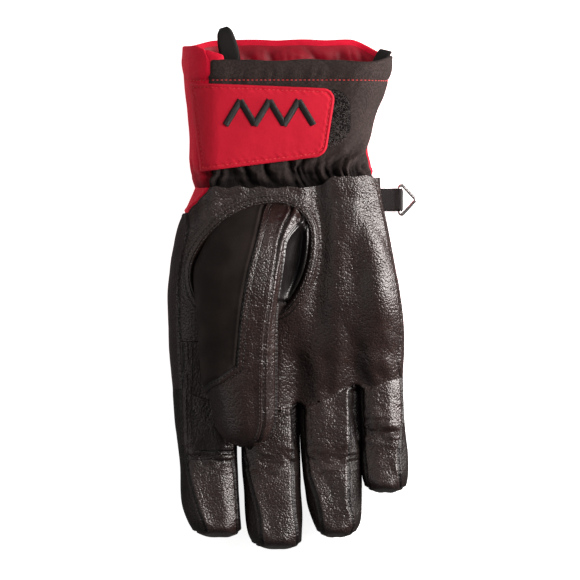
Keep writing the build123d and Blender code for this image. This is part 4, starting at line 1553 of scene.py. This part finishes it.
def make_tab():
    """The closure tab with its edge stitching, its hook patch and the embroidered zigzag."""
    tab, v, f, outline = laid_sheet("closure_tab_cloth", TAB_CORNERS, TAB_RADII, TAB_COLUMNS, TAB_ROWS,
                                    TAB_LIFT, TAB_THICK, "tab", tab_relief)
    settle(tab, "red_cloth", "closure_tab", body="tab")
    surface = surface_of(v, f)
    turn = np.vstack([outline, outline[:1]])
    area = np.sum(turn[:-1, 0] * turn[1:, 1] - turn[1:, 0] * turn[:-1, 1])
    inward = TAB_STITCH_IN if area > 0 else -TAB_STITCH_IN
    line = offset_line(resample(outline, 400, closed=True), inward)
    points, normals = dropped(surface, np.vstack([line, line[:3]]))
    made = stitches("tab_edge_stitches", points, normals, "red_thread", *TAB_STITCH)
    settle(made, "red_cloth", body="tab")
    settle(make_emblem(surface), "black_thread", "tab_emblem", body="tab")
    hook = laid_sheet("tab_hook_patch", HOOK_CORNERS, HOOK_RADII, 30, 24, TAB_LIFT - TAB_THICK - HOOK_GAP,
                      HOOK_THICK, "hook", lambda xy, edge: xy[:, 0] * 0)[0]
    settle(hook, "hook_and_loop", "hook_patch", body="tab")


def make_emblem(surface):
    """A zigzag in satin stitch: threads laid side by side across the stroke."""
    x, y = EMBLEM_START
    corners = [EMBLEM_START]
    for k in range(EMBLEM_PEAKS):
        corners.append((x + EMBLEM_PITCH * (k + 0.5), y + EMBLEM_HEIGHT))
        corners.append((x + EMBLEM_PITCH * (k + 1), y))
    verts, faces = [], []
    ts = np.linspace(-1, 1, 7)
    rings = len(ts)
    sizes = EMBLEM_THREAD * np.array([0.6] + [1.0] * (rings - 2) + [0.6])
    rise = EMBLEM_RISE * np.sqrt(np.maximum(1 - ts * ts, 0)) - 0.12
    for a, b in zip(corners, corners[1:]):
        a, b = np.array(a, float), np.array(b, float)
        ahead = (b - a) / np.linalg.norm(b - a)
        side = np.array([-ahead[1], ahead[0]])
        steps = int(np.linalg.norm(b - a) / EMBLEM_SPACING)
        for k in range(steps + 1):
            middle = a + (b - a) * k / steps
            half = EMBLEM_STROKE / 2 + 0.12 * random.random()
            along = side + ahead * 0.12
            points, normals = dropped(surface, [middle + along * half * t for t in ts])
            if len(points) == rings:
                centres = points + normals * rise[:, None]
                add_tube(verts, faces, centres, sizes, np.array([*ahead, 0]), normals, 6)
    return make_object("tab_emblem_embroidery", verts, faces, MATERIALS["black_thread"])


def patch_relief(xy, edge):
    return 0.35 * smooth(0.5, 2.5, edge) + 0.25 * wander(on_plane(xy), 3.0, 1.0)


def make_loop_patch():
    """The loop patch sewn to the cuff, with its pile."""
    patch, v, f, outline = laid_sheet("cuff_loop_patch", PATCH_CORNERS, PATCH_RADII, 60, 46, PATCH_LIFT,
                                      PATCH_THICK, "loop", patch_relief)
    settle(patch, "hook_and_loop", "loop_patch")
    surface = surface_of(v, f)
    verts, faces = [], []
    polygon = resample(outline, 200, closed=True)
    turns = np.linspace(0, math.pi, 5)
    for _ in range(PILE_LOOPS):
        x, y = random.uniform(*PILE_BOX[:2]), random.uniform(*PILE_BOX[2:])
        if signed_distance(np.array([[x, y]]), polygon)[0] > -0.8:
            continue
        (point,), (normal,) = dropped(surface, [(x, y)])
        angle, size = random.uniform(0, 2 * math.pi), random.uniform(*PILE_SIZES)
        side = np.array([math.cos(angle), math.sin(angle), 0])
        heights = [size * 1.1 * math.sin(t) - 0.05 for t in turns]
        centres = [point + side * size * math.cos(t) + normal * h for t, h in zip(turns, heights)]
        across = [np.cross(side, normal)] * len(turns)
        add_tube(verts, faces, centres, [PILE_FIBRE] * len(turns), normal, across, 3)
    pile = make_object("loop_patch_pile", verts, faces, MATERIALS["pile"])
    settle(pile, "hook_and_loop")


# ---------------------------------------------------------------- webbing and stage

def ribbon(name, line, widths, side, thick):
    """A flat tape along a line of centres. Side is the direction of its width."""
    line = np.asarray(line, float)
    widths = np.broadcast_to(widths, len(line))
    side = np.array(side) / np.linalg.norm(side)
    ahead = np.gradient(line, axis=0)
    ahead /= np.linalg.norm(ahead, axis=1, keepdims=True)
    ups = np.cross(ahead, side)
    across = np.linspace(-1, 1, 13)
    heights = [0.5 * math.sqrt(max(1 - t ** 10, 0.0)) for t in across]
    profile = [*zip(across, heights), *zip(across[::-1], [-h for h in heights])]
    profile = [(t, h * thick + (1e-4 if h >= 0 else -1e-4)) for t, h in profile]
    verts = []
    for centre, width, up in zip(line, widths, ups):
        verts += [centre + side * t * width / 2 + up * h for t, h in profile]
    count = len(profile)
    faces = [list(q) for q in grid_faces(len(line), count)]
    faces.append(list(range(count)))
    faces.append([(len(line) - 1) * count + i for i in reversed(range(count))])
    return make_object(name, verts, faces, MATERIALS["webbing"])


# half of the pull loop, from its root to near its end: x, y, distance from the middle, width
PULL_HALF = [
    (-36.6, 116.0, 3.0, 12.6), (-36.9, 126.0, 2.6, 12.6), (-37.8, 135.0, 3.1, 11.8),
    (-39.4, 142.0, 3.5, 10.6), (-40.4, 146.4, 2.6, 8.6),
]
PULL_END, PULL_RISE, PULL_THICK, PULL_SIDE = (-40.8, 148.4, 5.4), 1.0, 1.5, (1.0, 0.3, 0.2)
LEASH_LINE = [
    (43.0, 116.0, 20.0), (46.5, 126.0, 21.5), (50.2, 133.5, 25.0), (52.0, 136.0, 29.0),
    (51.0, 134.6, 33.0), (47.6, 128.0, 35.5), (44.0, 118.0, 36.0),
]
LEASH_WIDTH, LEASH_THICK, LEASH_SIDE = 9.0, 1.4, (0.75, -0.2, 0.5)
# the clip's strap: where it starts, how far its layers lie from the middle, and its turn round the wire
STRAP_START_X, STRAP_LAYER, STRAP_TURN, STRAP_EYE = 45.0, 0.651, 1.55, 2.2
STRAP_WIDTH, STRAP_THICK = 13.2, 0.95


def make_webbing():
    """The pull loop, the leash loop and the clip's strap."""
    z = float(np.mean([c[2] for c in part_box("pull_loop")])) / MM + PULL_RISE
    rows = [(x, y, z + d, w) for x, y, d, w in PULL_HALF]
    rows += [(PULL_END[0], PULL_END[1], z, PULL_END[2])]
    rows += [(x, y, z - d, w) for x, y, d, w in reversed(PULL_HALF)]
    rows = curve_through(rows, 60)
    made = ribbon("pull_loop_webbing", rows[:, :3], rows[:, 3], PULL_SIDE, PULL_THICK)
    settle(made, "black_webbing", "pull_loop")
    rows = curve_through(LEASH_LINE, 50)
    made = ribbon("leash_loop_webbing", rows, LEASH_WIDTH, LEASH_SIDE, LEASH_THICK)
    settle(made, "black_webbing", "leash_loop")
    # two layers of tape round the ring's straight side
    x0, y0, z0 = np.array(JOINTS["ring_swing"]["pos_m"]) / MM

    def wave(x):
        return math.sin((x - STRAP_START_X) / 3)

    xs = np.linspace(STRAP_START_X, x0 - STRAP_EYE, 12)
    turns = np.linspace(0.0, math.pi, 13)
    line = [(x, y0, z0 + STRAP_LAYER + 0.25 * wave(x)) for x in xs]
    line += [(x0 + STRAP_TURN * math.sin(t), y0, z0 + STRAP_TURN * math.cos(t)) for t in turns]
    line += [(x, y0, z0 - STRAP_LAYER - 0.12 * wave(x)) for x in xs[::-1]]
    made = ribbon("clip_strap_webbing", line, STRAP_WIDTH, (0.0, 1.0, 0.0), STRAP_THICK)
    settle(made, "black_webbing", "clip_strap")


def make_ring():
    """The wire ring is the CAD's own, in polished metal."""
    ring = frame["nodes"]["clip_ring"]
    ring.data.materials.clear()
    ring.data.materials.append(MATERIALS["metal"])
    ring.data.polygons.foreach_set("use_smooth", [True] * len(ring.data.polygons))


def add_light(name, place, target, size, watts):
    light = bpy.data.lights.new(name, "AREA")
    light.shape = "RECTANGLE"
    light.size, light.size_y = size
    light.energy = watts
    light.color = WARM
    obj = bpy.data.objects.new(name, light)
    obj.location = place
    obj.rotation_euler = (Vector(target) - Vector(place)).to_track_quat("-Z", "Y").to_euler()
    bpy.context.scene.collection.objects.link(obj)


CAMERA_AT = (-0.0029, -0.00115)
CAMERA_HEIGHT = 3.0
VIEW_PLANE_Z = 0.022
VIEW_SIDE = 0.3335
SENSOR = 36.0
FLOOR_HALF, FLOOR_Z, FLOOR_GLOW, WORLD_GLOW = 2500, -0.4, 0.84, 0.10
WARM = (1.0, 0.945, 0.92)
# each light: name, place, target, size, watts
LIGHTS = (
    ("key", (0.76, 0.34, 0.72), (0.0, 0.0, 0.03), (0.34, 0.34), 12.6),
    ("side", (0.47, 0.08, 0.15), (0.03, 0.01, 0.03), (0.13, 0.32), 4.8),
    ("far", (-0.12, 0.88, 0.85), (0.0, 0.0, 0.03), (0.5, 0.3), 2.0),
    ("fill", (-0.85, -0.1, 0.75), (0.0, 0.0, 0.03), (1.1, 1.1), 3.3),
)


def make_stage():
    """Pale floor, soft lights and the camera straight above."""
    signs = ((-1, -1), (1, -1), (1, 1), (-1, 1))
    corners = [(sx * FLOOR_HALF, sy * FLOOR_HALF, FLOOR_Z) for sx, sy in signs]
    pale = Shader("floor_white", Base_Color=rgb(0.85, 0.85, 0.85), Roughness=0.9,
                  Emission_Color=rgb(1, 1, 1), Emission_Strength=FLOOR_GLOW)
    floor = make_object("floor", corners, [(0, 1, 2, 3)], pale.material, smooth_shade=False)
    floor.visible_glossy = False
    world = bpy.data.worlds.new("studio")
    world.use_nodes = True
    world.node_tree.nodes["Background"].inputs["Color"].default_value = (1, 1, 1, 1)
    world.node_tree.nodes["Background"].inputs["Strength"].default_value = WORLD_GLOW
    bpy.context.scene.world = world
    for light in LIGHTS:
        add_light(*light)
    data = bpy.data.cameras.new("camera")
    data.sensor_width = SENSOR
    data.lens = SENSOR * (CAMERA_HEIGHT - VIEW_PLANE_Z) / VIEW_SIDE
    data.clip_start, data.clip_end = 0.05, 20.0
    camera = bpy.data.objects.new("camera", data)
    camera.location = (*CAMERA_AT, CAMERA_HEIGHT)
    bpy.context.scene.collection.objects.link(camera)
    bpy.context.scene.camera = camera
    bpy.context.scene.view_settings.view_transform = "Standard"


make_stage()
make_hand()
make_thumb()
make_cuff()
make_tab()
make_loop_patch()
make_webbing()
make_ring()
